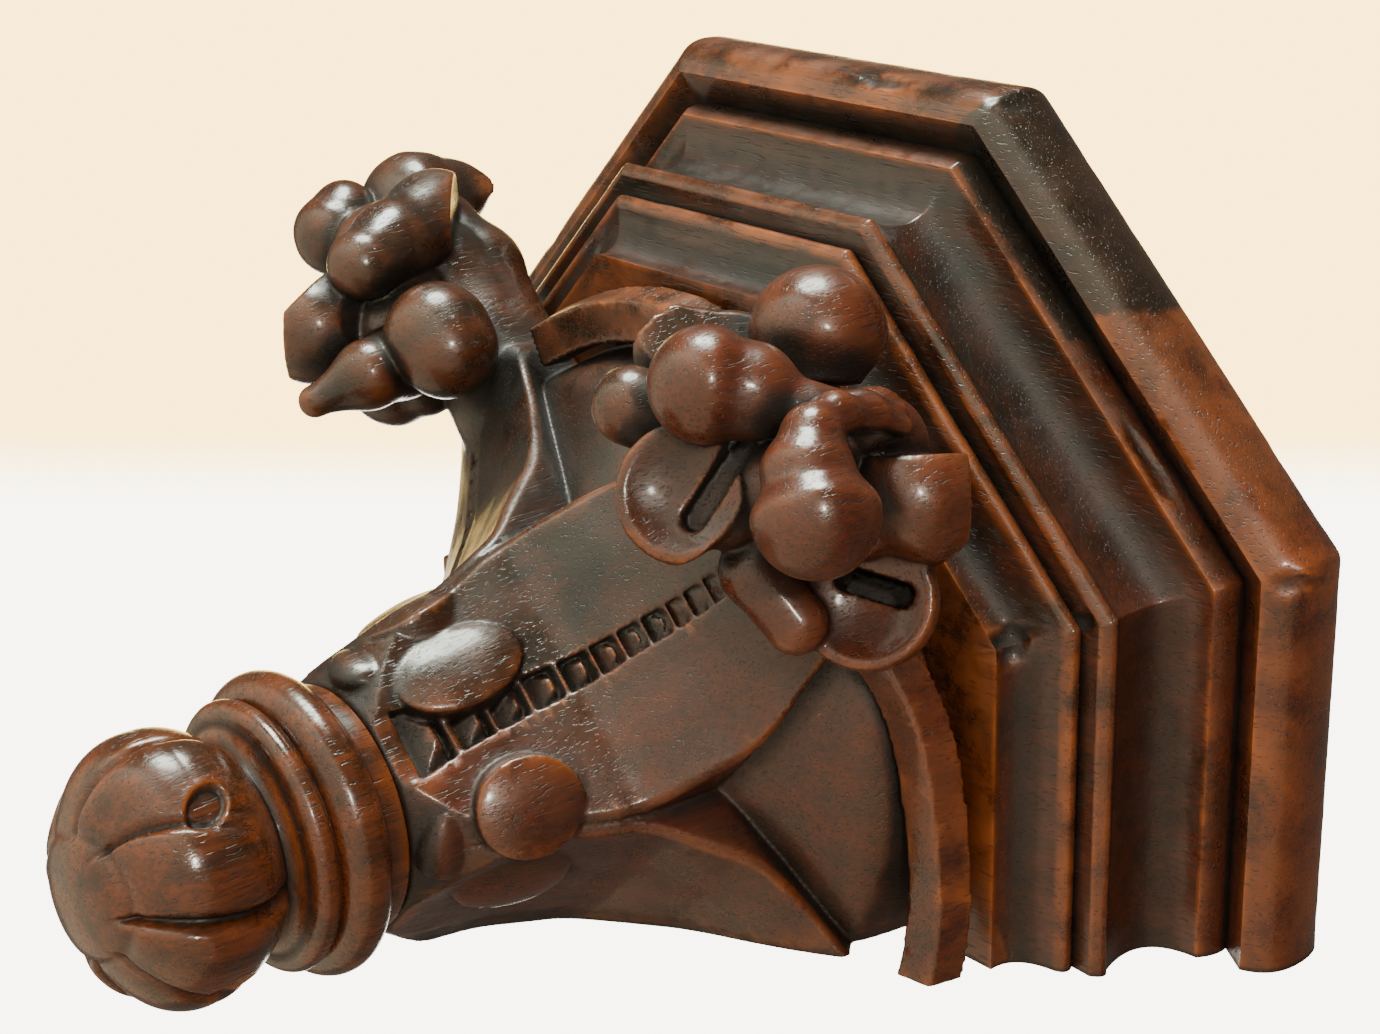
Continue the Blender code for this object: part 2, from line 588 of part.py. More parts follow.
def turned_pendant(parts, tools):
    """Collar, rings and throat turned in one, with the carved bud below."""
    mesh = bpy.data.meshes.new("turned_pendant")
    points = [(radius, 0.0, height) for radius, height in pendant_profile()]
    mesh.from_pydata(points, [(i, i + 1) for i in range(len(points) - 1)], [])
    item = bpy.data.objects.new("turned_pendant", mesh)
    item.location = (0.0, -AXIS_TO_WALL, 0.0)
    parts.objects.link(item)
    turn = item.modifiers.new("turning", "SCREW")
    turn.steps = RING_STEPS
    turn.render_steps = RING_STEPS
    turn.use_merge_vertices = True
    turn.merge_threshold = 0.00005
    turn.use_smooth_shade = False
    bud = bud_shape(tools)
    add_boolean(item, bud, "UNION")
    return item


def main():
    """Build the three pieces of the wall shelf."""
    clear_scene()
    parts = new_collection("carved_wall_shelf")
    tools = new_collection("carving_tools")
    shelf = shelf_body("moulded_shelf", parts)
    shelf.data.materials.append(wood("shelf_oak", OAK_WARM))
    bracket = carved_bracket(parts, tools)
    bracket.data.materials.append(wood("bracket_oak", OAK_DARK))
    pendant = turned_pendant(parts, tools)
    pendant.data.materials.append(wood("pendant_oak", OAK_RED))


main()
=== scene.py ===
"""Carved oak wall shelf, dressed: the moulded board, the carved bracket and the turned pendant.

Metres in the solids' own frame: +Z up, the flat back on Y = 0, the front towards -Y. Sizes inside the
classes are in millimetres, because the carving was measured that way.
"""

from __future__ import annotations

import logging
import math
from dataclasses import dataclass, field
from enum import Enum

import bpy
import numpy as np
from mathutils import Matrix, Vector


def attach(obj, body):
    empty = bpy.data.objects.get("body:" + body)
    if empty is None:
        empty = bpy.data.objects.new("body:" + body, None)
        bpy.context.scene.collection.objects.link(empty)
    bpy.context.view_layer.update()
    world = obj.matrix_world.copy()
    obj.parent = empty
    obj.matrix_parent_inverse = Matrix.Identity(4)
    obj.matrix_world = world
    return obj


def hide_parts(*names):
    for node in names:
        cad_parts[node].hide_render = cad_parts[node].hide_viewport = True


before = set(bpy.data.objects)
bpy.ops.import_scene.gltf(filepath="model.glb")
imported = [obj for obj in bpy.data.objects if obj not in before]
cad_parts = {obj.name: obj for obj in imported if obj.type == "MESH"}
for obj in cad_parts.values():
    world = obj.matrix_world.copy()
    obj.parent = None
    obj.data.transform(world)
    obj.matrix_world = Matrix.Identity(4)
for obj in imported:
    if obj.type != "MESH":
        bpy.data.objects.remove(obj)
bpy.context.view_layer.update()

log = logging.getLogger("wall_shelf")

MM = 0.001
ROOT = "root"

# Relief in millimetres where each mark starts and where it is full: rubbed wear on arrises and crests, dirt
# and painted shade in creases and hollows
ARRIS = (0.03, 0.28)
CREST = (0.15, 1.4)
CREASE = (0.02, 0.35)
HOLLOW = (0.04, 0.9)

# Share of each face in the chamfer between two square ones
SQUARE_HALF = 0.7071
# Length of one degree of arc at a distance of one
PER_DEGREE = 0.0175

# Short names for the types used most
Pair = tuple[float, float]
Triple = tuple[float, float, float]
Curve = tuple[Pair, ...]
Socket = bpy.types.NodeSocket


class Grain(Enum):
    """Which way the wood's fibres run."""

    ACROSS = (0.10, 1.0, 1.0)
    UPRIGHT = (1.0, 1.0, 0.10)


def lattice_noise(points: np.ndarray, cell: float, seed: int) -> np.ndarray:
    """Smooth noise on a lattice, the same on every run.

    Args:
        points: Places to read, one row of three numbers each.
        cell: Size of one lattice cell, in the points' unit.
        seed: Which noise to read.

    Returns:
        One value from -1 to 1 for each point.
    """
    scaled = points / cell
    base = np.floor(scaled).astype(np.int64)
    share = scaled - base
    share = share * share * (3.0 - 2.0 * share)
    total = np.zeros(len(points))
    for corner in range(8):
        step = np.array([corner & 1, corner >> 1 & 1, corner >> 2 & 1])
        at = base + step
        mixed = at[:, 0] * 73856093 ^ at[:, 1] * 19349663 ^ at[:, 2] * 83492791 ^ seed * 6542989
        mixed = (mixed ^ mixed >> 13) * 1274126177
        value = (mixed >> 8 & 0xFFFF) / 32767.5 - 1.0
        total += value * np.prod(np.where(step == 1, share, 1.0 - share), axis=1)
    return total


def layered_noise(points: np.ndarray, cell: float, seed: int, layers: int = 3) -> np.ndarray:
    """Several sizes of lattice noise added together.

    Args:
        points: Places to read.
        cell: Size of the coarsest cell.
        seed: Which noise to read.
        layers: How many sizes are added, each half of the last.

    Returns:
        One value of about -1 to 1 for each point.
    """
    total = np.zeros(len(points))
    for layer in range(layers):
        total += lattice_noise(points, cell / 2**layer, seed + layer) / 2**layer
    return total / (2.0 - 0.5 ** (layers - 1))


def smooth_step(low: float, high: float, value: np.ndarray) -> np.ndarray:
    """A soft change from 0 at `low` to 1 at `high`."""
    share = np.clip((value - low) / (high - low), 0.0, 1.0)
    return share * share * (3.0 - 2.0 * share)


def smooth_low(a: np.ndarray, b: np.ndarray, round_off: float) -> np.ndarray:
    """The lower of two fields, with the crease between them rounded over `round_off`."""
    share = np.maximum(round_off - np.abs(a - b), 0.0) / round_off
    return np.minimum(a, b) - share * share * round_off * 0.25


def bend(start: tuple, pull: tuple, end: tuple, steps: int) -> list[Pair]:
    """Points along a quadratic curve, without its start.

    Args:
        start: First point.
        pull: The point that draws the curve.
        end: Last point.
        steps: How many points to make.

    Returns:
        The points as (inset, height) pairs.
    """
    shares = [i / steps for i in range(1, steps + 1)]
    return [tuple(a * (1 - t) ** 2 + 2 * b * t * (1 - t) + c * t * t for a, b, c in zip(start, pull, end))
            for t in shares]


def turn_to(x: np.ndarray, y: np.ndarray, azimuth: float) -> tuple[np.ndarray, np.ndarray]:
    """Distances out along a bearing and sideways to it, with bearing 0 at the front."""
    a = math.radians(azimuth)
    return x * math.sin(a) - y * math.cos(a), x * math.cos(a) + y * math.sin(a)


def reach_along(at: tuple, start: np.ndarray, way: np.ndarray) -> np.ndarray:
    """How far the places `at` lie from `start` along `way`."""
    (x, y, z), (a, b, c), (u, v, w) = at, start, way
    return (x - a) * u + (y - b) * v + (z - c) * w


def square_from(at: tuple, start: np.ndarray, t: np.ndarray, axis: np.ndarray) -> np.ndarray:
    """Square of the distance from the places `at` to the point at share `t` of a line."""
    (x, y, z), (a, b, c), (u, v, w) = at, start, axis
    return (x - a - t * u) ** 2 + (y - b - t * v) ** 2 + (z - c - t * w) ** 2


def mesh_piece(name: str, points: np.ndarray, faces: np.ndarray,
               caps: tuple[np.ndarray, ...] = ()) -> bpy.types.Object:
    """Link a smooth-shaded mesh made of four-sided faces, with optional many-sided caps.

    Args:
        name: The object's name.
        points: Corner places in millimetres.
        faces: Rows of four corner numbers.
        caps: Extra faces, each a run of corner numbers.

    Returns:
        The new object, sized in metres, with its faces turned outwards.
    """
    first, second, third, fourth = (points[faces[:, n]] for n in range(4))
    held = np.einsum("ij,ij->", first, np.cross(second, third) + np.cross(third, fourth))
    if held < 0.0:
        faces = faces[:, ::-1]
        caps = tuple(cap[::-1] for cap in caps)
    mesh = bpy.data.meshes.new(name)
    mesh.vertices.add(len(points))
    mesh.vertices.foreach_set("co", (points * MM).astype(np.float32).ravel())
    loops = np.concatenate([faces.ravel(), *caps]) if caps else faces.ravel()
    sizes = np.array([4] * len(faces) + [len(cap) for cap in caps])
    starts = np.concatenate([[0], np.cumsum(sizes)[:-1]])
    mesh.loops.add(len(loops))
    mesh.loops.foreach_set("vertex_index", loops.astype(np.int32))
    mesh.polygons.add(len(sizes))
    mesh.polygons.foreach_set("loop_start", starts.astype(np.int32))
    mesh.update(calc_edges=True)
    mesh.validate()
    mesh.shade_smooth()
    piece = bpy.data.objects.new(name, mesh)
    bpy.context.scene.collection.objects.link(piece)
    return piece


def read_points(mesh: bpy.types.Mesh) -> np.ndarray:
    """Read where the mesh's corners lie.

    Args:
        mesh: The mesh to read.

    Returns:
        One place in millimetres for each corner.
    """
    flat = np.empty(len(mesh.vertices) * 3, np.float32)
    mesh.vertices.foreach_get("co", flat)
    return flat.reshape(-1, 3).astype(float) / MM


def read_normals(mesh: bpy.types.Mesh) -> np.ndarray:
    """Read which way the mesh faces.

    Args:
        mesh: The mesh to read.

    Returns:
        The smooth normal at each corner.
    """
    flat = np.empty(len(mesh.vertices) * 3, np.float32)
    mesh.vertex_normals.foreach_get("vector", flat)
    return flat.reshape(-1, 3).astype(float)


def paint_value(mesh: bpy.types.Mesh, name: str, values: np.ndarray) -> None:
    """Store one number for each corner under `name`, for the finishes to read."""
    layer = mesh.attributes.get(name) or mesh.attributes.new(name, "FLOAT", "POINT")
    layer.data.foreach_set("value", np.clip(values, 0.0, 1.0).astype(np.float32))


def relief_of(mesh: bpy.types.Mesh, rounds: int) -> np.ndarray:
    """How far each corner stands out of its smoothed surroundings, in millimetres.

    Args:
        mesh: The mesh to read.
        rounds: How many times the surroundings are averaged, which sets their size.

    Returns:
        Positive numbers on crests and negative ones in hollows.
    """
    pairs = np.empty(len(mesh.edges) * 2, np.int32)
    mesh.edges.foreach_get("vertices", pairs)
    first, second = pairs.reshape(-1, 2).T
    count = len(mesh.vertices)
    links = np.maximum(np.bincount(first, minlength=count) + np.bincount(second, minlength=count), 1)
    start = read_points(mesh)
    soft = start.copy()
    for _ in range(rounds):
        total = np.empty_like(soft)
        for axis in range(3):
            column = soft[:, axis]
            total[:, axis] = (np.bincount(first, column[second], count)
                              + np.bincount(second, column[first], count)) / links
        soft = 0.5 * soft + 0.5 * total
    return np.einsum("ij,ij->i", start - soft, read_normals(mesh))


def paint_age(piece: bpy.types.Object, fine: int, broad: int, seed: int) -> None:
    """Store where the piece is rubbed bare, and where wax, dirt and painted shade darken its creases and
    hollows.

    Args:
        piece: The finished mesh.
        fine: Rounds of averaging for narrow arrises.
        broad: Rounds of averaging for wide hollows.
        seed: Which noise breaks the wear up.
    """
    mesh = piece.data
    points = read_points(mesh)
    near, far = relief_of(mesh, fine), relief_of(mesh, broad)
    patchy = 0.55 + 0.45 * layered_noise(points, 14.0, seed)
    paint_value(mesh, "rubbed", (smooth_step(*ARRIS, near) + 0.75 * smooth_step(*CREST, far)) * patchy)
    # Creases and hollows, darkened in the colour: dirt and painted shade
    paint_value(mesh, "dirt_and_painted_shade", smooth_step(*CREASE, -near) * 0.8 + smooth_step(*HOLLOW, -far))


@dataclass(frozen=True)
class Nodes:
    """A node tree with short ways to add the nodes that the finishes and the room use."""

    tree: bpy.types.NodeTree

    def plug(self, socket: Socket, value: Socket | float | tuple) -> None:
        """Link an input to another node's output, or set it to a plain value.

        Args:
            socket: The input.
            value: An output, a number, a direction or a colour of three numbers.
        """
        if isinstance(value, Socket):
            self.tree.links.new(value, socket)
        else:
            socket.default_value = (*value, 1.0) if socket.type == "RGBA" else value

    def add(self, kind: str, inputs: dict[int | str, object], **settings: object) -> bpy.types.Node:
        """Add one node.

        Args:
            kind: The node's type.
            inputs: What goes into each of its inputs.
            settings: The node's own settings.

        Returns:
            The new node.
        """
        node = self.tree.nodes.new(kind)
        for name, value in settings.items():
            setattr(node, name, value)
        for index, value in inputs.items():
            self.plug(node.inputs[index], value)
        return node

    def mix(self, factor: Socket, a: Socket | tuple, b: Socket | tuple) -> Socket:
        """Colour `b` mixed into colour `a` by `factor`."""
        return self.add("ShaderNodeMix", {0: factor, 6: a, 7: b}, data_type="RGBA").outputs[2]

    def join(self, kind: str, a: Socket, b: Socket | float, clamp: bool = False) -> Socket:
        """Two numbers joined by an operation, kept from 0 to 1 if `clamp` is set."""
        return self.add("ShaderNodeMath", {0: a, 1: b}, operation=kind, use_clamp=clamp).outputs[0]

    def times(self, a: Socket, b: Socket | float) -> Socket:
        """The product of two numbers."""
        return self.join("MULTIPLY", a, b)

    def plus(self, a: Socket, b: Socket, clamp: bool = False) -> Socket:
        """The sum of two numbers."""
        return self.join("ADD", a, b, clamp)

    def spread(self, value: Socket, low: float, high: float, floor: float = 0.0, top: float = 1.0) -> Socket:
        """The range from `low` to `high` spread softly over `floor` to `top`."""
        return self.add("ShaderNodeMapRange", {0: value, 1: low, 2: high, 3: floor, 4: top},
                        interpolation_type="SMOOTHSTEP").outputs[0]

    def noise(self, place: Socket, scale: float, detail: float, roughness: float = 0.55) -> Socket:
        """A noise read at `place`."""
        return self.add("ShaderNodeTexNoise", {"Vector": place, "Scale": scale, "Detail": detail,
                                               "Roughness": roughness}).outputs[0]

    def drawn_out(self, place: Socket, scale: Triple) -> Socket:
        """`place`, scaled along its three axes."""
        return self.add("ShaderNodeMapping", {"Vector": place, "Scale": scale}).outputs[0]

    def stored(self, name: str) -> Socket:
        """A number stored on the mesh."""
        return self.add("ShaderNodeAttribute", {}, attribute_name=name).outputs["Fac"]

    def dot(self, a: Socket, way: Triple) -> Socket:
        """How far `a` points along `way`."""
        return self.add("ShaderNodeVectorMath", {0: a, 1: way}, operation="DOT_PRODUCT").outputs["Value"]


@dataclass(frozen=True)
class WaxedOak:
    """Dark stained oak, waxed over the years: colours, gloss and the run of the grain."""

    name: str
    grain: Grain
    deep: Triple = (0.0080, 0.0062, 0.0036)
    body: Triple = (0.0270, 0.0118, 0.0064)
    warm: Triple = (0.0880, 0.0165, 0.0050)
    bare: Triple = (0.3000, 0.0760, 0.0150)
    # Near-black for pores, dirt and painted shade in creases, hollows and recesses
    dirt_and_shade_colour: Triple = (0.0030, 0.0020, 0.0015)
    gloss: float = 0.29
    coat: float = 0.40
    coat_in_dirt: float = 0.08
    coat_roughness: float = 0.14
    pore_depth: float = 0.35
    bump_strength: float = 0.55
    bump_height: float = 0.0005
    warmth: float = 0.5

    def build(self) -> bpy.types.Material:
        """Make the material.

        Returns:
            The finished wood.
        """
        material = bpy.data.materials.new(self.name)
        material.use_nodes = True
        nodes = Nodes(material.node_tree)
        place = nodes.add("ShaderNodeTexCoord", {}).outputs["Object"]
        along = nodes.drawn_out(place, self.grain.value)
        clouds, smears = nodes.noise(place, 26.0, 4.0), nodes.noise(place, 60.0, 5.0, 0.65)
        figure, fibres = nodes.noise(along, 130.0, 4.0, 0.6), nodes.noise(along, 900.0, 3.0, 0.7)
        pit = nodes.spread(nodes.noise(along, 1500.0, 1.0, 0.5), 0.60, 0.70)
        rubbed, dirt_and_painted_shade = nodes.stored("rubbed"), nodes.stored("dirt_and_painted_shade")
        patch, red = nodes.stored("mended"), nodes.stored("handled")
        warm = nodes.times(nodes.spread(figure, 0.38, 0.66), self.warmth)
        # Pores, dirt and painted shade together take the colour towards near-black
        dark = nodes.join("MAXIMUM", nodes.times(pit, 0.55), dirt_and_painted_shade)
        colour = nodes.mix(nodes.spread(clouds, 0.34, 0.66), self.deep, self.body)
        for share, added in ((nodes.plus(warm, nodes.times(red, 0.75), clamp=True), self.warm),
                             (nodes.spread(fibres, 0.40, 0.62, 0.42, 0.0), self.deep),
                             (nodes.times(rubbed, nodes.spread(smears, 0.30, 0.62)), self.bare),
                             (nodes.times(patch, 0.85), self.deep),
                             (nodes.times(dark, 0.93), self.dirt_and_shade_colour)):
            colour = nodes.mix(share, colour, added)
        dull = nodes.spread(smears, 0.32, 0.68, self.gloss - 0.07, self.gloss + 0.13)
        dull = nodes.plus(nodes.plus(dull, nodes.times(dirt_and_painted_shade, 0.25)), nodes.times(pit, 0.15))
        height = nodes.plus(nodes.times(fibres, 0.35), nodes.times(pit, -self.pore_depth))
        height = nodes.plus(height, nodes.times(smears, 0.9))
        bump = nodes.add("ShaderNodeBump", {"Strength": self.bump_strength, "Distance": self.bump_height,
                                            "Height": height})
        coat = nodes.spread(dirt_and_painted_shade, 0.05, 0.55, self.coat, self.coat_in_dirt)
        shader = material.node_tree.nodes["Principled BSDF"].inputs
        for name, value in (("Base Color", colour), ("Roughness", dull), ("Normal", bump.outputs[0]),
                            ("Coat Weight", coat), ("Coat Roughness", self.coat_roughness),
                            ("Specular IOR Level", 0.5)):
            nodes.plug(shader[name], value)
        return material


@dataclass
class MouldedShelf:
    """The half-octagon board with its round nose and the stepped mouldings under it."""

    half_width: float = 150.0
    depth: float = 194.6
    side_depth: float = 101.0
    board_top: float = 24.0
    board_thickness: float = 26.0
    nose_bulge: float = 3.8
    top_inset: float = 5.0
    nose_foot_inset: float = 4.0
    quirk_inset: float = 12.5
    quirk_rise: float = 5.5
    bead_height: float = 8.7
    bead_slope: float = 2.0
    upper_hollow: Triple = (20.4, 10.5, 18.0)
    middle_nose: Pair = (5.0, 1.6)
    lower_quirk_inset: float = 32.2
    fillet: Pair = (30.9, 4.2)
    lower_hollow: Triple = (10.7, 12.9, 12.0)
    corner: float = 3.6
    stations: tuple[int, int, int, int] = (62, 7, 84, 70)
    top_rings: Triple = (30.0, 12.0, 7.0)
    foot_rings: Pair = (1.5, 8.0)
    sharp_angle: float = 50.0
    repair_foot: float = -3.0
    repair_depth: float = 14.0
    repair_length: float = 68.0
    finish: WaxedOak = field(default_factory=lambda: WaxedOak("waxed_oak_shelf", Grain.ACROSS))

    # Places where the edges have lost wood: middle, reach and depth
    chips = (((150.5, -99.5, 5.0), (4.0, 4.0, 14.0), 1.5), ((106.0, -83.5, -41.0), (5.0, 6.0, 6.0), 1.8),
             ((119.0, -90.0, -29.0), (4.0, 4.0, 3.0), 1.2), ((58.0, -196.0, 8.0), (9.0, 4.0, 8.0), 1.0),
             ((112.0, -118.0, -2.0), (14.0, 14.0, 2.5), 0.9), ((135.0, -70.0, -8.0), (5.0, 8.0, 2.0), 0.9),
             ((-60.0, -193.0, 20.0), (7.0, 5.0, 3.0), 1.0), ((-120.0, -130.0, 4.0), (7.0, 7.0, 4.0), 0.9),
             ((-149.0, -60.0, 14.0), (4.0, 8.0, 5.0), 1.0), ((20.0, -197.0, 2.0), (10.0, 4.0, 3.0), 0.8))
    # Levels of the old repair's slanting edge, and its place along the cant at each
    repair_edge = ((-11.5, 7.9, 18.0, 24.0), (-12.7, -2.8, -2.5, -6.0))

    def section(self, density: int = 3) -> list[Pair]:
        """The moulding's section from the top of the board down.

        Args:
            density: How many times more points than the solid has.

        Returns:
            The section as (inset, height) pairs.
        """
        foot_height = self.board_top - self.board_thickness
        foot = (self.nose_foot_inset, foot_height)
        swell = -self.nose_bulge
        quirk = (self.quirk_inset, foot_height + self.quirk_rise)
        bead = (self.quirk_inset + self.bead_slope, quirk[1] - self.bead_height)
        tall, run, bite = self.upper_hollow
        hollow = (bead[0] + run, bead[1] - tall)
        nose_tall, nose_swell = self.middle_nose
        nose = (hollow[0] + 1.0, hollow[1] - nose_tall)
        inset, rise = self.fillet
        fillet = (inset + rise / 2, nose[1] - rise)
        low_tall, low_run, low_bite = self.lower_hollow
        points = [(self.top_inset, self.board_top)]
        for pull, end, steps in (
                ((swell, self.board_top - 0.05 * self.board_thickness),
                 (swell, self.board_top - 0.55 * self.board_thickness), 4),
                ((swell, self.board_top - 0.90 * self.board_thickness), foot, 4),
                (((foot[0] + quirk[0]) / 2, (foot[1] + quirk[1]) / 2), quirk, 2),
                ((self.quirk_inset - self.bead_slope / 2, quirk[1] - self.bead_height / 2), bead, 4),
                ((bead[0] + bite, bead[1] - 0.06 * tall), hollow, 10),
                ((hollow[0] - 2 * nose_swell, hollow[1] - nose_tall / 2), nose, 3),
                ((nose[0] + 2.5, nose[1] + 0.2), (self.lower_quirk_inset, nose[1] + 0.3), 2),
                ((inset, nose[1]), (inset, nose[1] - rise / 2), 1),
                ((inset, nose[1] - 0.8 * rise), fillet, 1),
                ((fillet[0] + low_bite, fillet[1] - 0.15 * low_tall),
                 (inset + low_run, fillet[1] - low_tall), 6)):
            points += bend(points[-1], pull, end, steps * density)
        return points

    def foot(self) -> Pair:
        """Inset and height of the lowest arris."""
        return self.section(1)[-1]

    def plan(self, inset: float, corner: float) -> np.ndarray:
        """The free edge of the half octagon, drawn in by `inset`.

        Args:
            inset: How far in from the plan at the arris under the nose.
            corner: Radius of the rounded corners.

        Returns:
            Points from the right wall end round to the left one.
        """
        lean = math.tan(math.radians(22.5))
        half, front = self.half_width - inset, self.depth - inset
        side = self.side_depth - inset * lean
        front_half = self.half_width - (self.depth - self.side_depth) - inset * lean
        side_count, turn_count, cant_count, front_count = self.stations
        runs = []
        back_off = corner / math.cos(math.radians(22.5))
        start = np.array([half, 0.0])
        for x, y, low, high, count in ((half, -side, 0.0, 45.0, side_count),
                                       (front_half, -front, 45.0, 90.0, cant_count)):
            middle = math.radians((low + high) / 2)
            centre = np.array([x - back_off * math.cos(middle), y + back_off * math.sin(middle)])
            angles = np.radians(np.linspace(low, high, turn_count))
            arc = centre + corner * np.stack([np.cos(angles), -np.sin(angles)], axis=1)
            runs.append(start + (arc[0] - start) * np.linspace(0.0, 1.0, count, endpoint=False)[:, None])
            runs.append(arc[:-1])
            start = arc[-1]
        left = start * np.array([-1.0, 1.0])
        front_run = start + (left - start) * np.linspace(0.0, 1.0, front_count)[:, None]
        right = np.concatenate(runs)
        return np.concatenate([right, front_run, right[::-1] * np.array([-1.0, 1.0])])

    def skin(self) -> tuple[np.ndarray, np.ndarray, tuple[np.ndarray, ...]]:
        """Sweep the section round the plan and close the back, top and underside.

        Returns:
            Points, four-sided faces and the three caps.
        """
        section = self.section()
        inset, foot = section[-1]
        rows = ([(ring, self.board_top) for ring in self.top_rings] + section
                + [(inset + ring, foot) for ring in self.foot_rings])
        rings = []
        for inset, height in rows:
            board = height > self.board_top - self.board_thickness
            edge = self.plan(inset, self.corner if board else 0.35 * self.corner)
            rings.append(np.column_stack([edge, np.full(len(edge), height)]))
        points = np.concatenate(rings)
        count = len(rings[0])
        number = np.arange(len(rows) * count).reshape(len(rows), count)
        above, below = number[:-1], number[1:]
        faces = np.stack([above[:, :-1], above[:, 1:], below[:, 1:], below[:, :-1]], axis=-1)
        back = np.concatenate([number[:, 0], number[::-1, -1]])
        return points, faces.reshape(-1, 4)[:, ::-1], (number[0], number[-1][::-1], back)

    def age(self, points: np.ndarray, normals: np.ndarray) -> np.ndarray:
        """Dents, rubbed arrises and lost chips, as a move inwards along the normals.

        Args:
            points: Corner places.
            normals: The surface's normals there.

        Returns:
            The moved points.
        """
        free = smooth_step(-0.5, -4.0, points[:, 1])
        dent = 0.16 * layered_noise(points, 16.0, 11) + 0.10 * layered_noise(points, 4.0, 21)
        dent = np.where(dent < 0.0, 1.6 * dent, 0.5 * dent) - 0.10
        for spot, reach, depth in self.chips:
            away = np.linalg.norm((points - np.array(spot)) / np.array(reach), axis=1)
            ragged = 1.0 + 0.35 * layered_noise(points, 3.0, 31)
            dent -= depth * smooth_step(1.0, 0.35, away * ragged)
        lying = np.abs(normals[:, 1]) > 0.95
        keep = np.where(lying & (points[:, 1] > -0.5), 0.0, 1.0)
        return points + normals * np.minimum(dent * free * keep, 0.0)[:, None]

    def mended(self, points: np.ndarray) -> np.ndarray:
        """Where the old repair at the front corner of the cant lies.

        Args:
            points: Corner places.

        Returns:
            1 inside the repair and 0 outside it.
        """
        along = (points[:, 0] - points[:, 1] - self.half_width - self.side_depth) / math.sqrt(2.0)
        across = (points[:, 0] + points[:, 1]) / math.sqrt(2.0)
        place = across - (self.half_width - self.depth) / math.sqrt(2.0)
        limit = np.interp(points[:, 2], *self.repair_edge)
        board = (points[:, 2] > self.repair_foot) & (along > -self.repair_depth)
        return (board & (place < limit) & (place > -self.repair_length)).astype(float)

    def build(self) -> bpy.types.Object:
        """Make the board and its mouldings.

        Returns:
            The dressed piece.
        """
        points, faces, caps = self.skin()
        piece = mesh_piece("oak_shelf", points, faces, caps)
        mesh = piece.data
        points = self.age(read_points(mesh), read_normals(mesh))
        mesh.vertices.foreach_set("co", (points * MM).astype(np.float32).ravel())
        mesh.update()
        mesh.set_sharp_from_angle(angle=math.radians(self.sharp_angle))
        paint_age(piece, 3, 60, 5)
        paint_value(mesh, "mended", self.mended(points))
        paint_value(mesh, "handled", smooth_step(40.0, 150.0, points[:, 0] + 0.3 * points[:, 1]
                                                 + 45.0 * layered_noise(points, 34.0, 9)))
        mesh.materials.append(self.finish.build())
        return piece


class Form(Enum):
    """How a limb of a crocket ends."""

    ROUND = "round"
    SHELL = "shell"


@dataclass(frozen=True)
class Limb:
    """One lobe of a crocket: a run of balls, each (out, along, up, radius) in crocket sizes."""

    name: str
    balls: tuple[tuple[float, float, float, float], ...]
    form: Form = Form.ROUND
    slot: tuple[Triple, ...] = ()
    cuts: tuple[tuple[Triple, Triple], ...] = ()


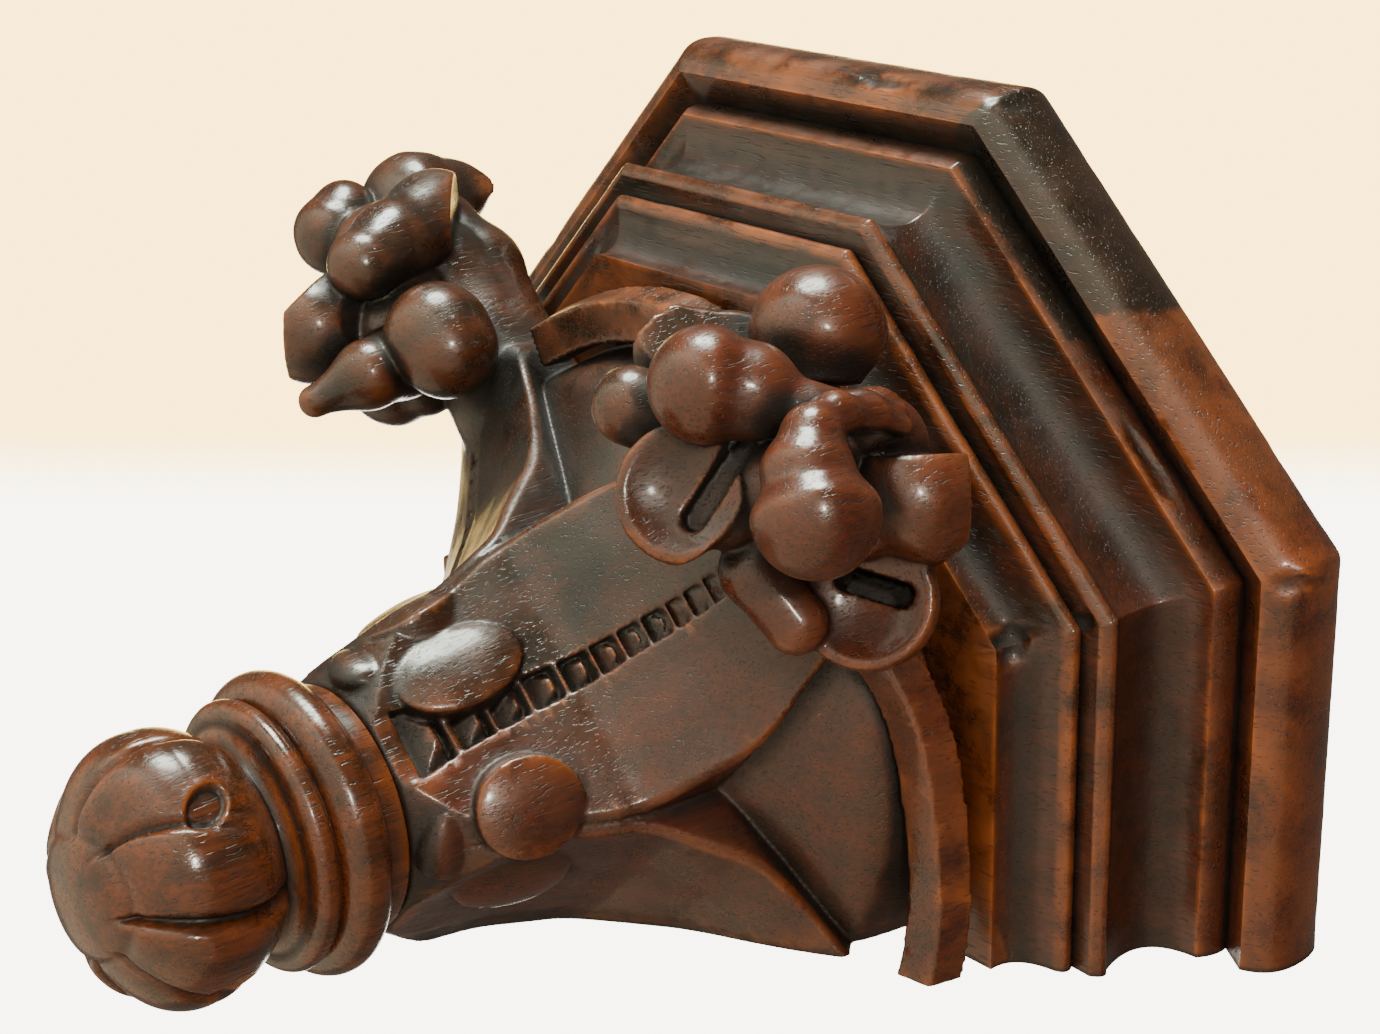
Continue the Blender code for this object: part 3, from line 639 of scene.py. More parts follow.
@dataclass
class Grid:
    """A block of space read at even steps, in millimetres."""

    low: Triple = (-146.0, -187.0, -160.5)
    high: Triple = (137.0, 1.6, -14.0)
    step: float = 0.8

    def __post_init__(self) -> None:
        """Lay out the three axes."""
        self.axes = [np.arange(a, b + self.step, self.step, dtype=np.float32)
                     for a, b in zip(self.low, self.high)]

    def window(self, low: np.ndarray, high: np.ndarray) -> tuple[slice, slice, slice]:
        """The part of the block between two corners.

        Args:
            low: Lowest corner.
            high: Highest corner.

        Returns:
            One slice for each axis.
        """
        return tuple(slice(max(0, int((a - axis[0]) / self.step)), int((b - axis[0]) / self.step) + 2)
                     for a, b, axis in zip(low, high, self.axes))

    def spread(self, window: tuple[slice, slice, slice]) -> tuple[np.ndarray, np.ndarray, np.ndarray]:
        """The coordinates inside a window, ready to be combined."""
        x, y, z = (axis[part] for axis, part in zip(self.axes, window))
        return x[:, None, None], y[None, :, None], z[None, None, :]

    def whole(self) -> tuple[slice, slice, slice]:
        """The window that holds the whole block."""
        return tuple(slice(0, len(axis)) for axis in self.axes)

    def skin(self, values: np.ndarray) -> tuple[np.ndarray, np.ndarray]:
        """Wrap the region below zero in four-sided faces.

        Args:
            values: The field, below zero inside the wood.

        Returns:
            Points and faces.
        """
        inside = values < 0.0
        full = np.zeros(tuple(n - 1 for n in values.shape), np.uint8)
        corners = [(i, j, k) for i in (0, 1) for j in (0, 1) for k in (0, 1)]
        nx, ny, nz = full.shape
        for i, j, k in corners:
            full += inside[i:i + nx, j:j + ny, k:k + nz]
        cells = np.argwhere((full > 0) & (full < 8))
        number = np.full(full.shape, -1, np.int32)
        number[tuple(cells.T)] = np.arange(len(cells))
        held = {c: values[cells[:, 0] + c[0], cells[:, 1] + c[1], cells[:, 2] + c[2]] for c in corners}
        total, hits = np.zeros((len(cells), 3)), np.zeros(len(cells))
        for a in corners:
            for axis in range(3):
                if a[axis]:
                    continue
                b = tuple(1 if n == axis else a[n] for n in range(3))
                crossed = (held[a] < 0.0) != (held[b] < 0.0)
                gap = np.where(crossed, held[a] - held[b], 1.0)
                place = np.tile(np.array(a, float), (len(cells), 1))
                place[:, axis] += np.where(crossed, held[a] / gap, 0.0)
                total += place * crossed[:, None]
                hits += crossed
        origin = np.array([axis[0] for axis in self.axes], float)
        points = origin + (cells + total / hits[:, None]) * self.step
        faces = []
        for axis in range(3):
            u, v = (axis + 1) % 3, (axis + 2) % 3
            low, high = [slice(None)] * 3, [slice(None)] * 3
            low[axis], high[axis] = slice(0, -1), slice(1, None)
            a, b = inside[tuple(low)], inside[tuple(high)]
            crossing = np.argwhere(a != b)
            keep = (crossing[:, u] < full.shape[u]) & (crossing[:, v] < full.shape[v])
            crossing = crossing[keep & np.all(crossing > 0, axis=1)]
            outward = a[tuple(crossing.T)]
            around = []
            for du, dv in ((1, 1), (0, 1), (0, 0), (1, 0)):
                at = crossing.copy()
                at[:, u] -= du
                at[:, v] -= dv
                around.append(number[tuple(at.T)])
            quad = np.stack(around, axis=1)
            faces.append(np.where(outward[:, None], quad, quad[:, ::-1]))
        return points, np.concatenate(faces)


@dataclass
class CarvedBracket:
    """The bell below the shelf with its ribs, leaves, discs and crockets, carved from one block."""

    shelf: MouldedShelf
    axis_to_wall: float = 43.0
    height: float = 112.2
    collar: float = 30.5
    waist: float = 34.0
    panel_reach: float = 90.0
    leaf_half: float = 40.0
    neck_spread: float = 75.0
    head_spread: float = 110.0
    head_start: float = 0.30
    panel_ratio: float = 1.42
    rib_chamfer: float = 1.1
    panel_sink: float = 0.4
    panel_join: float = 9.0
    strip_depth: float = 4.4
    strip_start: float = 0.20
    tooth_start: float = 6.5
    tooth_pitch: Triple = (13.0, 4.6, 90.0)
    tooth_phases: tuple[float, float, float, float] = (0.78, 0.46, 0.20, 0.17)
    far_rib: float = -45.0
    far_lean: float = 6.0
    disc_level: float = -133.0
    disc_lean: float = 13.0
    disc_depth: float = 11.0
    lobe_half: Triple = (4.2, 9.0, 7.5)
    crocket_size: float = 40.0
    limb_join: float = 0.9
    ball_join: float = 2.5
    edge_join: float = 0.6
    shell_cup: Triple = (0.30, 1.55, 1.50)
    shell_facing: Triple = (0.62, 0.12, -0.72)
    slot_half: float = 2.9
    slot_span: Pair = (8.0, 14.0)
    band: Pair = (9.0, 13.0)
    band_reach: float = 28.0
    far_band_reach: float = 6.0
    gap: float = 0.3
    tool_depth: float = 0.16
    face_limit: int = 196000
    finish: WaxedOak = field(default_factory=lambda: WaxedOak("waxed_oak_bracket", Grain.UPRIGHT,
                                                              body=(0.042, 0.0205, 0.0120)))

    # Value and share of the height below the seat, from the foot up
    rib_curve = ((0.0, 1.0), (0.012, 0.90), (0.053, 0.71), (0.155, 0.54), (0.414, 0.365), (0.712, 0.246),
                 (0.864, 0.20), (1.0, 0.15), (1.0, 0.0))
    panel_curve = ((-0.03, 1.0), (-0.03, 0.90), (0.0, 0.71), (0.06, 0.54), (0.30, 0.365), (0.66, 0.246),
                   (0.80, 0.20), (0.93, 0.15), (1.0, 0.0))
    leaf_widths = ((0.62, 1.0), (0.66, 0.90), (0.84, 0.71), (0.94, 0.54), (0.95, 0.365), (0.90, 0.305),
                   (0.80, 0.26), (0.72, 0.216), (0.62, 0.17), (0.55, 0.127), (0.50, 0.0))
    leaf_curl = ((0.0, 1.0), (0.0, 0.50), (1.5, 0.42), (4.0, 0.33), (8.0, 0.26), (9.0, 0.0))
    strip_widths = ((0.20, 0.45, 0.55, 0.75, 0.83, 0.93, 1.0), (2.8, 3.5, 4.0, 5.0, 6.2, 8.6, 9.6))
    # Bearing, place along the rib, half width, half height and how far it stands proud
    discs = ((45.0, -12.5, 10.5, 16.5, 3.4), (45.0, 26.0, 12.0, 13.5, 3.0), (-45.0, -12.5, 10.5, 16.0, 2.8),
             (-45.0, 26.0, 12.0, 13.5, 0.4), (135.0, -13.0, 11.5, 15.0, 2.8), (-135.0, 21.0, 11.5, 14.0, 2.8))
    # Bearing, distance from the axis and level
    lobes = ((90.0, 33.0, -150.0), (0.0, 33.0, -150.0), (-90.0, 33.0, -150.0))
    # Degrees towards the front, distance from the axis and drop from the seat
    front_arch = (
        (-28.0, 102.5, 8.0), (-24.0, 103.5, 5.4), (-16.0, 104.6, 3.0), (-8.0, 105.2, 1.8), (0.0, 105.4, 1.4),
        (8.0, 105.2, 1.8), (16.0, 104.6, 3.0), (24.0, 103.5, 5.4), (28.0, 102.5, 8.0))
    side_arch = (
        (-28.0, 118.0, 12.0), (-22.4, 113.0, 7.8), (-17.0, 109.0, 4.8), (-11.5, 105.6, 3.4),
        (-6.0, 103.4, 3.6), (0.0, 102.0, 4.2), (5.5, 101.4, 4.8), (11.3, 101.0, 5.8),
        (17.5, 100.4, 7.6), (24.0, 99.2, 11.0), (28.0, 98.0, 15.0))
    right_crocket = (
        Limb("stem", ((-0.50, 0.0, -0.40, 0.46), (0.05, 0.0, -0.36, 0.40), (0.45, -0.08, -0.42, 0.30),
            (0.70, -0.12, -0.56, 0.20))),
        Limb("heart", ((0.28, -0.06, -0.95, 0.40), (0.42, -0.20, -0.72, 0.30))),
        Limb("left shell", ((0.14, -0.12, -1.30, 0.26), (0.14, -0.24, -1.50, 0.40)), Form.SHELL,
            ((0.19, -0.09, -1.60), (0.19, -0.33, -1.00))),
        Limb("right shell", ((0.15, 0.36, -0.92, 0.26), (0.14, 0.67, -0.76, 0.40)), Form.SHELL,
            ((0.19, 0.74, -0.55), (0.19, 0.52, -0.86))),
        Limb("left outer lobe", ((0.05, -0.55, -1.05, 0.20), (-0.06, -0.92, -1.38, 0.23))),
        Limb("right outer lobe", ((0.05, 0.06, -1.06, 0.22), (-0.03, 0.24, -1.22, 0.19),
            (-0.05, 0.60, -1.13, 0.18))),
        Limb("back leaf", ((-0.10, -0.50, -0.50, 0.26), (0.02, -1.00, -0.60, 0.26),
            (-0.05, -1.22, -0.92, 0.24)), cuts=(((-0.05, -1.30, -0.70), (-0.50, -0.87, 0.0)),
            ((0.10, -1.10, -0.90), (0.90, 0.10, -0.40)))),
        Limb("left bulb", ((0.34, -0.55, -0.50, 0.26), (0.50, -0.80, -0.40, 0.40)),
            cuts=(((0.37, -0.56, -0.46), (-0.489, 0.839, -0.239)),)),
        Limb("right bulb", ((0.35, 0.28, -0.66, 0.24), (0.56, 0.32, -0.48, 0.40)),
            cuts=(((0.67, 0.13, -0.38), (0.47, -0.85, 0.20)), ((0.66, 0.46, -0.22), (0.45, 0.45, 0.77)))),
        Limb("left teardrop", ((0.60, -0.64, -1.38, 0.33), (0.68, -0.50, -1.20, 0.26),
            (0.78, -0.28, -1.02, 0.14), (0.90, -0.14, -0.76, 0.09), (0.92, -0.06, -0.56, 0.05))),
        Limb("right teardrop", ((0.86, 0.34, -1.40, 0.35), (0.91, 0.12, -1.34, 0.24),
            (0.97, -0.05, -1.24, 0.155), (0.99, -0.12, -1.04, 0.11), (0.96, -0.08, -0.78, 0.08),
            (0.90, 0.02, -0.58, 0.06))))
    left_crocket = (
        Limb("stem", ((-0.50, 0.0, -0.28, 0.42), (0.15, 0.0, -0.26, 0.40), (0.70, 0.0, -0.30, 0.38),
            (1.10, -0.05, -0.34, 0.30))),
        Limb("curl", ((-0.30, 0.0, -0.22, 0.42), (0.12, 0.0, -0.14, 0.38), (0.70, 0.0, -0.02, 0.34),
            (1.12, -0.05, -0.04, 0.26))),
        Limb("heart", ((0.35, 0.0, -0.80, 0.42), (1.05, -0.10, -0.55, 0.36))),
        Limb("tip block", ((0.50, 0.05, -0.80, 0.34), (0.60, -0.05, -1.06, 0.37),
            (0.62, -0.12, -1.32, 0.38)), cuts=(((0.62, -0.12, -1.53), (0.47, -0.43, -0.77)),
            ((0.88, -0.10, -1.20), (0.90, 0.05, -0.42)), ((0.40, 0.16, -1.20), (-0.50, 0.84, 0.20)))),
        Limb("low leaf", ((0.10, 0.15, -1.00, 0.26), (0.02, 0.24, -1.34, 0.22),
            (0.02, 0.04, -1.68, 0.11))),
        Limb("near bulb", ((0.05, 0.35, -0.70, 0.28), (0.02, 0.55, -0.94, 0.34),
            (-0.10, 0.58, -0.94, 0.33))),
        Limb("hidden bulb", ((0.15, -0.25, -0.65, 0.28), (0.25, -0.40, -0.75, 0.33))),
        Limb("hidden leaf", ((0.40, -0.30, -0.80, 0.26), (0.45, -0.45, -1.00, 0.27))),
        Limb("far bulb", ((1.20, -0.30, -0.45, 0.26), (1.44, -0.38, -0.64, 0.28),
            (1.56, -0.34, -0.52, 0.24))),
        Limb("far teardrop", ((1.20, -0.34, -0.30, 0.30), (1.47, -0.30, 0.04, 0.40),
            (1.48, -0.22, 0.32, 0.24), (1.42, -0.06, 0.55, 0.07)),
            cuts=(((1.42, -0.02, 0.40), (-0.20, 0.90, 0.40)),)),
        Limb("near teardrop", ((0.72, 0.42, -1.10, 0.24), (0.86, 0.38, -0.78, 0.275),
            (1.03, 0.28, -0.30, 0.34)),
            cuts=(((1.05, 0.28, -0.11), (-0.472, 0.4355, 0.7665)),)))

    def __post_init__(self) -> None:
        """Work out the seat under the mouldings and the ribs' reach."""
        inset, height = self.shelf.foot()
        self.seat = height - self.gap
        cant = (self.shelf.half_width + self.shelf.side_depth - self.axis_to_wall) / math.sqrt(2.0)
        self.reach = cant - inset

    def share(self, z: np.ndarray) -> np.ndarray:
        """Share of the bracket's height that a level lies below the seat."""
        return np.clip((self.seat - z) / self.height, 0.0, 1.0)

    @staticmethod
    def read(curve: Curve, share: np.ndarray) -> np.ndarray:
        """Read a curve of (value, height share) pairs, softened a little.

        Args:
            curve: The pairs, from the foot up.
            share: Where to read.

        Returns:
            The values there.
        """
        table = np.array(curve[::-1])
        total = np.zeros_like(share, dtype=float)
        for shift in (-0.03, -0.015, 0.0, 0.015, 0.03):
            total += np.interp(share + shift, table[:, 1], table[:, 0])
        return total / 5.0

    def rib_face(self, z: np.ndarray) -> np.ndarray:
        """Distance of a rib's face from the bell's axis at each level."""
        return self.collar + self.read(self.rib_curve, self.share(z)) * (self.reach - self.collar)

    def place(self, azimuth: float, out: float, along: float, height: float) -> np.ndarray:
        """World place from a rib's own directions.

        Args:
            azimuth: The rib's bearing, 0 at the front.
            out: Distance from the axis.
            along: Distance along the rib's face.
            height: Level.

        Returns:
            The place in millimetres.
        """
        a = math.radians(azimuth)
        return np.array([out * math.sin(a) + along * math.cos(a),
                         -self.axis_to_wall - out * math.cos(a) + along * math.sin(a), height])

    def bell(self, grid: Grid) -> np.ndarray:
        """The bell with its ribs, strips, teeth, discs and arched bands.

        Args:
            grid: The block of space to fill.

        Returns:
            The field, below zero inside the wood.
        """
        x, y, z = grid.spread(grid.whole())
        level = z.ravel().astype(float)
        share = self.share(level)
        shape = (1, 1, -1)
        from_axis = y + self.axis_to_wall
        radius = np.hypot(x, from_axis)
        face = self.rib_face(level)
        half = np.minimum(self.leaf_half * self.read(self.leaf_widths, share), 0.93 * face)
        neck = (self.collar + (1.0 - share) * self.neck_spread
                + self.head_spread * np.maximum(self.head_start - share, 0.0))
        panel = self.waist + self.read(self.panel_curve, share) * (self.panel_reach - self.waist)
        panel = np.minimum(np.maximum(panel, self.panel_ratio * half), neck)
        slope = 1.0 / np.sqrt(1.0 + np.gradient(panel, level) ** 2)
        field_ = ((radius - panel.reshape(shape)) * slope.reshape(shape)).astype(np.float32)
        steep = (1.0 / np.sqrt(1.0 + np.gradient(face, level) ** 2)).reshape(shape)
        half, neck = half.reshape(shape), neck.reshape(shape)
        curl = self.read(self.leaf_curl, share).reshape(shape)
        strip = np.interp(share, *self.strip_widths).reshape(shape)
        deep = (self.strip_depth * np.minimum(1.0, 0.45 + share)).reshape(shape)
        run = np.concatenate([[0.0], np.cumsum(np.hypot(np.diff(level), np.diff(face)))])
        wide, narrow, length = self.tooth_pitch
        tighter = (wide - narrow) / length
        past = np.maximum(run - self.tooth_start, 0.0)
        count = -np.log(np.maximum(1.0 - tighter * past / wide, 0.05)) / tighter
        phase = (count % 1.0).reshape(shape)
        face = face.reshape(shape)
        ribs = None
        for azimuth in (45.0, -45.0, 135.0, -135.0):
            out, side = turn_to(x, from_axis, azimuth)
            along = np.abs(side)
            spread = along / half
            ridge = 0.35 * np.clip(1.0 - np.abs(spread - 0.55) / 0.30, 0.0, 1.0)
            lean = self.far_lean * np.clip(-side / half, 0.0, 1.1) if azimuth == self.far_rib else 0.0
            front = (out - face + curl * np.clip(spread, 0.0, 1.2) ** 2 - ridge + lean) * steep
            rib = np.maximum(front, along - half)
            rib = np.maximum(rib, (front + along - half) * SQUARE_HALF + self.rib_chamfer)
            rib = np.maximum(np.maximum(rib, (radius - neck) * 0.8), -out)
            ribs = rib if ribs is None else np.minimum(ribs, rib)
            plane = np.where(out > 0.0, front + self.panel_sink, -99.0).astype(np.float32)
            field_ = -smooth_low(-field_, -plane, self.panel_join)
        field_ = smooth_low(field_, ribs.astype(np.float32), self.edge_join)
        peak, climb, fall, bridge = self.tooth_phases
        tooth = np.clip(1.0 - np.abs(phase - peak) / np.where(phase < peak, climb, fall), 0.0, 1.0)
        for azimuth in (45.0, -45.0):
            out, side = turn_to(x, from_axis, azimuth)
            along = np.abs(side)
            inner = np.clip(1.15 - along / strip, 0.0, 1.0)
            rise = deep * np.where(phase < bridge, 0.90, 0.95 * np.minimum(tooth, inner))
            trench = np.maximum(along - strip, (face - deep + rise - out) * steep)
            trench = np.maximum(trench, np.where(share < self.strip_start, 3.0, -9.0).reshape(shape))
            field_ = np.maximum(field_, -trench.astype(np.float32))
        for azimuth, along, half_wide, half_tall, rise in self.discs:
            self.add_disc(grid, field_, azimuth, along, (half_wide, half_tall), rise)
        for azimuth, out, height in self.lobes:
            self.add_lobe(grid, field_, self.place(azimuth, out, 0.0, height), azimuth)
        for azimuth, rim, turn, reach in ((0.0, self.front_arch, 1.0, self.band_reach),
                                          (90.0, self.side_arch, -1.0, self.band_reach),
                                          (-90.0, self.side_arch, 1.0, self.far_band_reach)):
            self.add_arch(grid, field_, azimuth, rim, turn, reach)
        top = np.maximum(z - self.seat, self.seat - self.height - z)
        return np.maximum(field_, top.astype(np.float32))

    def add_disc(self, grid: Grid, field_: np.ndarray, azimuth: float, along: float,
                 half: Pair, proud: float) -> None:
        """Add one domed pad at the foot of the leaves.

        Args:
            grid: The block of space.
            field_: The field to change.
            azimuth: Bearing of its rib.
            along: How far along the rib's face its middle lies.
            half: Half its width and half its height.
            proud: How far it stands out of the rib's face.
        """
        face = float(self.rib_face(np.array([self.disc_level]))[0]) + proud
        centre = self.place(azimuth, face, along, self.disc_level)
        window = grid.window(centre - 24.0, centre + 24.0)
        at = grid.spread(window)
        turned, lean = math.radians(azimuth) + math.radians(0.9 * along), math.radians(self.disc_lean)
        normal = np.array([math.sin(turned) * math.cos(lean), -math.cos(turned) * math.cos(lean),
                           -math.sin(lean)])
        side = np.array([math.cos(turned), math.sin(turned), 0.0])
        high = reach_along(at, centre, normal)
        wide = reach_along(at, centre, side) / half[0]
        tall = reach_along(at, centre, np.cross(side, normal)) / half[1]
        flat = np.sqrt(wide * wide + tall * tall)
        dome = 0.9 - 1.9 * flat ** 2.4
        pad = np.maximum((flat - 1.0) * min(half) + 0.15 * np.maximum(high, 0.0),
                         np.maximum(high - dome, -high - self.disc_depth))
        field_[window] = smooth_low(field_[window], pad.astype(np.float32), 0.4)

    def add_lobe(self, grid: Grid, field_: np.ndarray, centre: np.ndarray, azimuth: float) -> None:
        """Add one small pointed lobe between two ribs, just above the seam.

        Args:
            grid: The block of space.
            field_: The field to change.
            centre: The lobe's middle.
            azimuth: The way it faces.
        """
        window = grid.window(centre - 13.0, centre + 13.0)
        x, y, z = grid.spread(window)
        deep, wide, tall = self.lobe_half
        high, along = turn_to(x - centre[0], y - centre[1], azimuth)
        narrow = tall * (1.0 - 0.35 * np.clip(-along / wide, -1.0, 1.0))
        lobe = np.sqrt((high / deep) ** 2 + (along / wide) ** 2 + ((z - centre[2]) / narrow) ** 2) - 1.0
        field_[window] = smooth_low(field_[window], (4.0 * lobe).astype(np.float32), 0.5)

    def add_arch(self, grid: Grid, field_: np.ndarray, azimuth: float, rim: tuple[Triple, ...], turn: float,
                 reach: float) -> None:
        """Add the arched band round the head of one bell panel.

        Args:
            grid: The block of space.
            field_: The field to change.
            azimuth: Bearing of the panel's middle.
            rim: Rows of (degrees towards the front, distance from the axis, drop from the seat).
            turn: The sense of those degrees.
            reach: How many degrees the band runs towards the front.
        """
        x, y, z = grid.spread(grid.whole())
        out, along = turn_to(x, y + self.axis_to_wall, azimuth)
        swing = np.degrees(np.arctan2(turn * along, out))
        table = np.array(rim)
        ring, drop = np.zeros_like(swing), np.zeros_like(swing)
        for shift in (-3.0, -1.5, 0.0, 1.5, 3.0):
            ring += np.interp(swing + shift, table[:, 0], table[:, 1]) / 5.0
            drop += np.interp(swing + shift, table[:, 0], table[:, 2]) / 5.0
        top = self.seat - drop
        radius = np.hypot(out, along)
        face, depth = self.band
        part = slice(int((self.seat - 36.0 - grid.axes[2][0]) / grid.step), None)
        z = z[:, :, part]
        edge = np.maximum(radius - ring + 0.25 * np.maximum(top - z, 0.0), ring - depth - radius)
        band = np.maximum(edge, np.maximum(z - top, top - face - z))
        beyond = np.maximum(np.abs(swing) - self.band_reach, swing - reach)
        band = np.maximum(band, beyond * PER_DEGREE * radius)
        field_[:, :, part] = smooth_low(field_[:, :, part], band.astype(np.float32), self.edge_join)

    def add_crocket(self, grid: Grid, field_: np.ndarray, azimuth: float, limbs: tuple[Limb, ...]) -> None:
        """Add a crocket, limb by limb.

        Args:
            grid: The block of space.
            field_: The field to change.
            azimuth: Bearing of its rib.
            limbs: Its lobes.
        """
        for limb in limbs:
            balls = [(self.crocket_place(azimuth, ball[:3]), ball[3] * self.crocket_size)
                     for ball in limb.balls]
            centres = np.array([centre for centre, _ in balls])
            wide = max(radius for _, radius in balls) + 5.0
            window = grid.window(centres.min(axis=0) - wide, centres.max(axis=0) + wide)
            at = grid.spread(window)
            body = None
            for (a, radius_a), (b, radius_b) in zip(balls, balls[1:]):
                axis = b - a
                t = np.clip(reach_along(at, a, axis) / float(axis @ axis), 0.0, 1.0)
                ease = t * t * (3.0 - 2.0 * t)
                piece = np.sqrt(square_from(at, a, t, axis)) - radius_a - (radius_b - radius_a) * ease
                body = piece if body is None else smooth_low(body, piece, self.ball_join)
            if limb.form is Form.SHELL:
                body = self.hollow_shell(body, at, azimuth, balls[-1])
            for point, facing in limb.cuts:
                way = self.place(azimuth, *facing) - self.place(azimuth, 0.0, 0.0, 0.0)
                way = way / np.linalg.norm(way)
                body = np.maximum(body, reach_along(at, self.crocket_place(azimuth, point), way))
            field_[window] = smooth_low(field_[window], body.astype(np.float32), self.limb_join)
            if limb.slot:
                ends = [self.crocket_place(azimuth, end) for end in limb.slot]
                self.cut_slot(grid, field_, ends, self.shell_normal(azimuth))

    def crocket_place(self, azimuth: float, point: Triple) -> np.ndarray:
        """World place of an (out, along, up) point given in crocket sizes."""
        out, along, up = (number * self.crocket_size for number in point)
        return self.place(azimuth, self.reach + out, along, self.seat + up)

    def hollow_shell(self, body: np.ndarray, at: tuple, azimuth: float,
                     ball: tuple[np.ndarray, float]) -> np.ndarray:
        """Turn the ball at a limb's end into a cupped disc.

        Args:
            body: The limb's field.
            at: Coordinates of the field.
            azimuth: Bearing of the rib.
            ball: The end ball's centre and radius.

        Returns:
            The changed field.
        """
        centre, radius = ball
        normal = self.shell_normal(azimuth)
        rim, lift, round_ = self.shell_cup
        body = np.maximum(body, reach_along(at, centre, normal) - rim * radius)
        bowl = np.sqrt(square_from(at, centre + normal * radius * lift, 0.0, normal))
        return np.maximum(body, round_ * radius - bowl)

    def shell_normal(self, azimuth: float) -> np.ndarray:
        """The way a cupped disc faces: out from its rib and down.

        Args:
            azimuth: Bearing of the rib.

        Returns:
            The direction, of length 1.
        """
        a, (out, right, down) = math.radians(azimuth), self.shell_facing
        normal = np.array([out * math.sin(a) + right, -out * math.cos(a), down])
        return normal / np.linalg.norm(normal)

    def cut_slot(self, grid: Grid, field_: np.ndarray, ends: list[np.ndarray], drill: np.ndarray) -> None:
        """Cut a slot between two places, with upright walls along the drill's direction.

        Args:
            grid: The block of space.
            field_: The field to change.
            ends: The slot's two ends.
            drill: The way it is cut.
        """
        a, b = ends
        b = b - drill * float((b - a) @ drill)
        radius, (above, below) = self.slot_half, self.slot_span
        window = grid.window(np.minimum(a, b) - radius - 9.0, np.maximum(a, b) + radius + 9.0)
        at = grid.spread(window)
        axis = b - a
        t = np.clip(reach_along(at, a, axis) / float(axis @ axis), 0, 1)
        deep = reach_along(at, a, drill)
        away = np.sqrt(np.maximum(square_from(at, a, t, axis) - deep * deep, 0.0))
        cut = np.minimum(radius - away, np.minimum(deep + above, below - deep))
        field_[window] = np.maximum(field_[window], cut.astype(np.float32))

    def trim(self, grid: Grid, field_: np.ndarray) -> np.ndarray:
        """Cut the bracket back from the wall plane and from the mouldings.

        Args:
            grid: The block of space.
            field_: The field.

        Returns:
            The trimmed field.
        """
        x, y, z = grid.spread(grid.whole())
        shelf = self.shelf
        inset = np.minimum(shelf.half_width - np.abs(x), shelf.depth + y)
        cant = (shelf.half_width + shelf.side_depth - np.abs(x) + y) / math.sqrt(2.0)
        inset = np.minimum(inset, cant)
        section = np.array(shelf.section())
        lowest = np.minimum.accumulate(section[::-1, 0])[::-1]
        level = z.ravel().astype(float)
        order = np.argsort(section[:, 1])
        bound = np.interp(level, section[order, 1], np.minimum(section[order, 0], lowest[order] + 30.0))
        shelf_field = np.maximum(bound.reshape(1, 1, -1) - inset, shelf.foot()[1] - z)
        field_ = np.maximum(field_, (self.gap - shelf_field).astype(np.float32))
        return np.maximum(field_, np.broadcast_to(y, field_.shape))

    def thin_out(self, piece: bpy.types.Object) -> None:
        """Bring the mesh under its limit of triangles, keeping the fine forms.

        Args:
            piece: The bracket's object.
        """
        triangles = 2 * len(piece.data.polygons)
        if triangles <= self.face_limit:
            return
        fewer = piece.modifiers.new("fewer_faces", "DECIMATE")
        fewer.ratio = self.face_limit / triangles
        reached = piece.evaluated_get(bpy.context.evaluated_depsgraph_get())
        mesh = bpy.data.meshes.new_from_object(reached)
        piece.modifiers.clear()
        piece.data = mesh

    def build(self, step: float) -> bpy.types.Object:
        """Carve the bracket.

        Args:
            step: Size of one cell of the carving grid.

        Returns:
            The dressed piece.
        """
        grid = Grid(step=step)
        field_ = self.bell(grid)
        self.add_crocket(grid, field_, 45.0, self.right_crocket)
        self.add_crocket(grid, field_, -45.0, self.left_crocket)
        field_ = self.trim(grid, field_)
        field_[0], field_[-1], field_[:, 0], field_[:, -1], field_[:, :, 0], field_[:, :, -1] = (1.0,) * 6
        points, faces = grid.skin(field_)
        points = self.tool_marks(points)
        piece = mesh_piece("oak_bracket", points, faces)
        self.thin_out(piece)
        mesh = piece.data
        mesh.shade_smooth()
        paint_age(piece, 2, 40, 15)
        points = read_points(mesh)
        # Painted shade in the recesses, from how closely the wood stands round each place
        hidden = self.painted_recess_shade(grid, field_, points, read_normals(mesh))
        stored = np.empty(len(points), np.float32)
        mesh.attributes["dirt_and_painted_shade"].data.foreach_get("value", stored)
        x, y = points[:, 0], points[:, 1]
        from_axis = y + self.axis_to_wall
        bell = smooth_step(92.0, 80.0, np.hypot(x, from_axis))
        # The bell's panels drawn darker towards its left side (towards -x)
        darker_left_bell = 0.55 * bell * smooth_step(-4.0, -22.0, x + 0.2 * from_axis)
        paint_value(mesh, "dirt_and_painted_shade", np.maximum(0.6 * stored, np.maximum(hidden, darker_left_bell)))
        side = smooth_step(5.0, 60.0, x - 0.2 * y - 60.0 + 20.0 * layered_noise(points, 30.0, 4))
        leaf = 0.65 * bell * smooth_step(0.0, 22.0, x + from_axis + 8.0 * layered_noise(points, 18.0, 6))
        paint_value(mesh, "handled", np.maximum(side, leaf))
        mesh.materials.append(self.finish.build())
        return piece

    def tool_marks(self, points: np.ndarray) -> np.ndarray:
        """The slight unevenness of hand carving.

        Args:
            points: Corner places.

        Returns:
            The moved points.
        """
        foot = self.seat - self.height
        free = smooth_step(-0.4, -3.0, points[:, 1])
        free = free * smooth_step(self.seat - 0.2, self.seat - 2.0, points[:, 2])
        free = free * smooth_step(foot + 0.2, foot + 2.0, points[:, 2])
        move = np.stack([layered_noise(points, 9.0, 40 + axis, 2) for axis in range(3)], axis=1)
        return points + self.tool_depth * move * free[:, None]

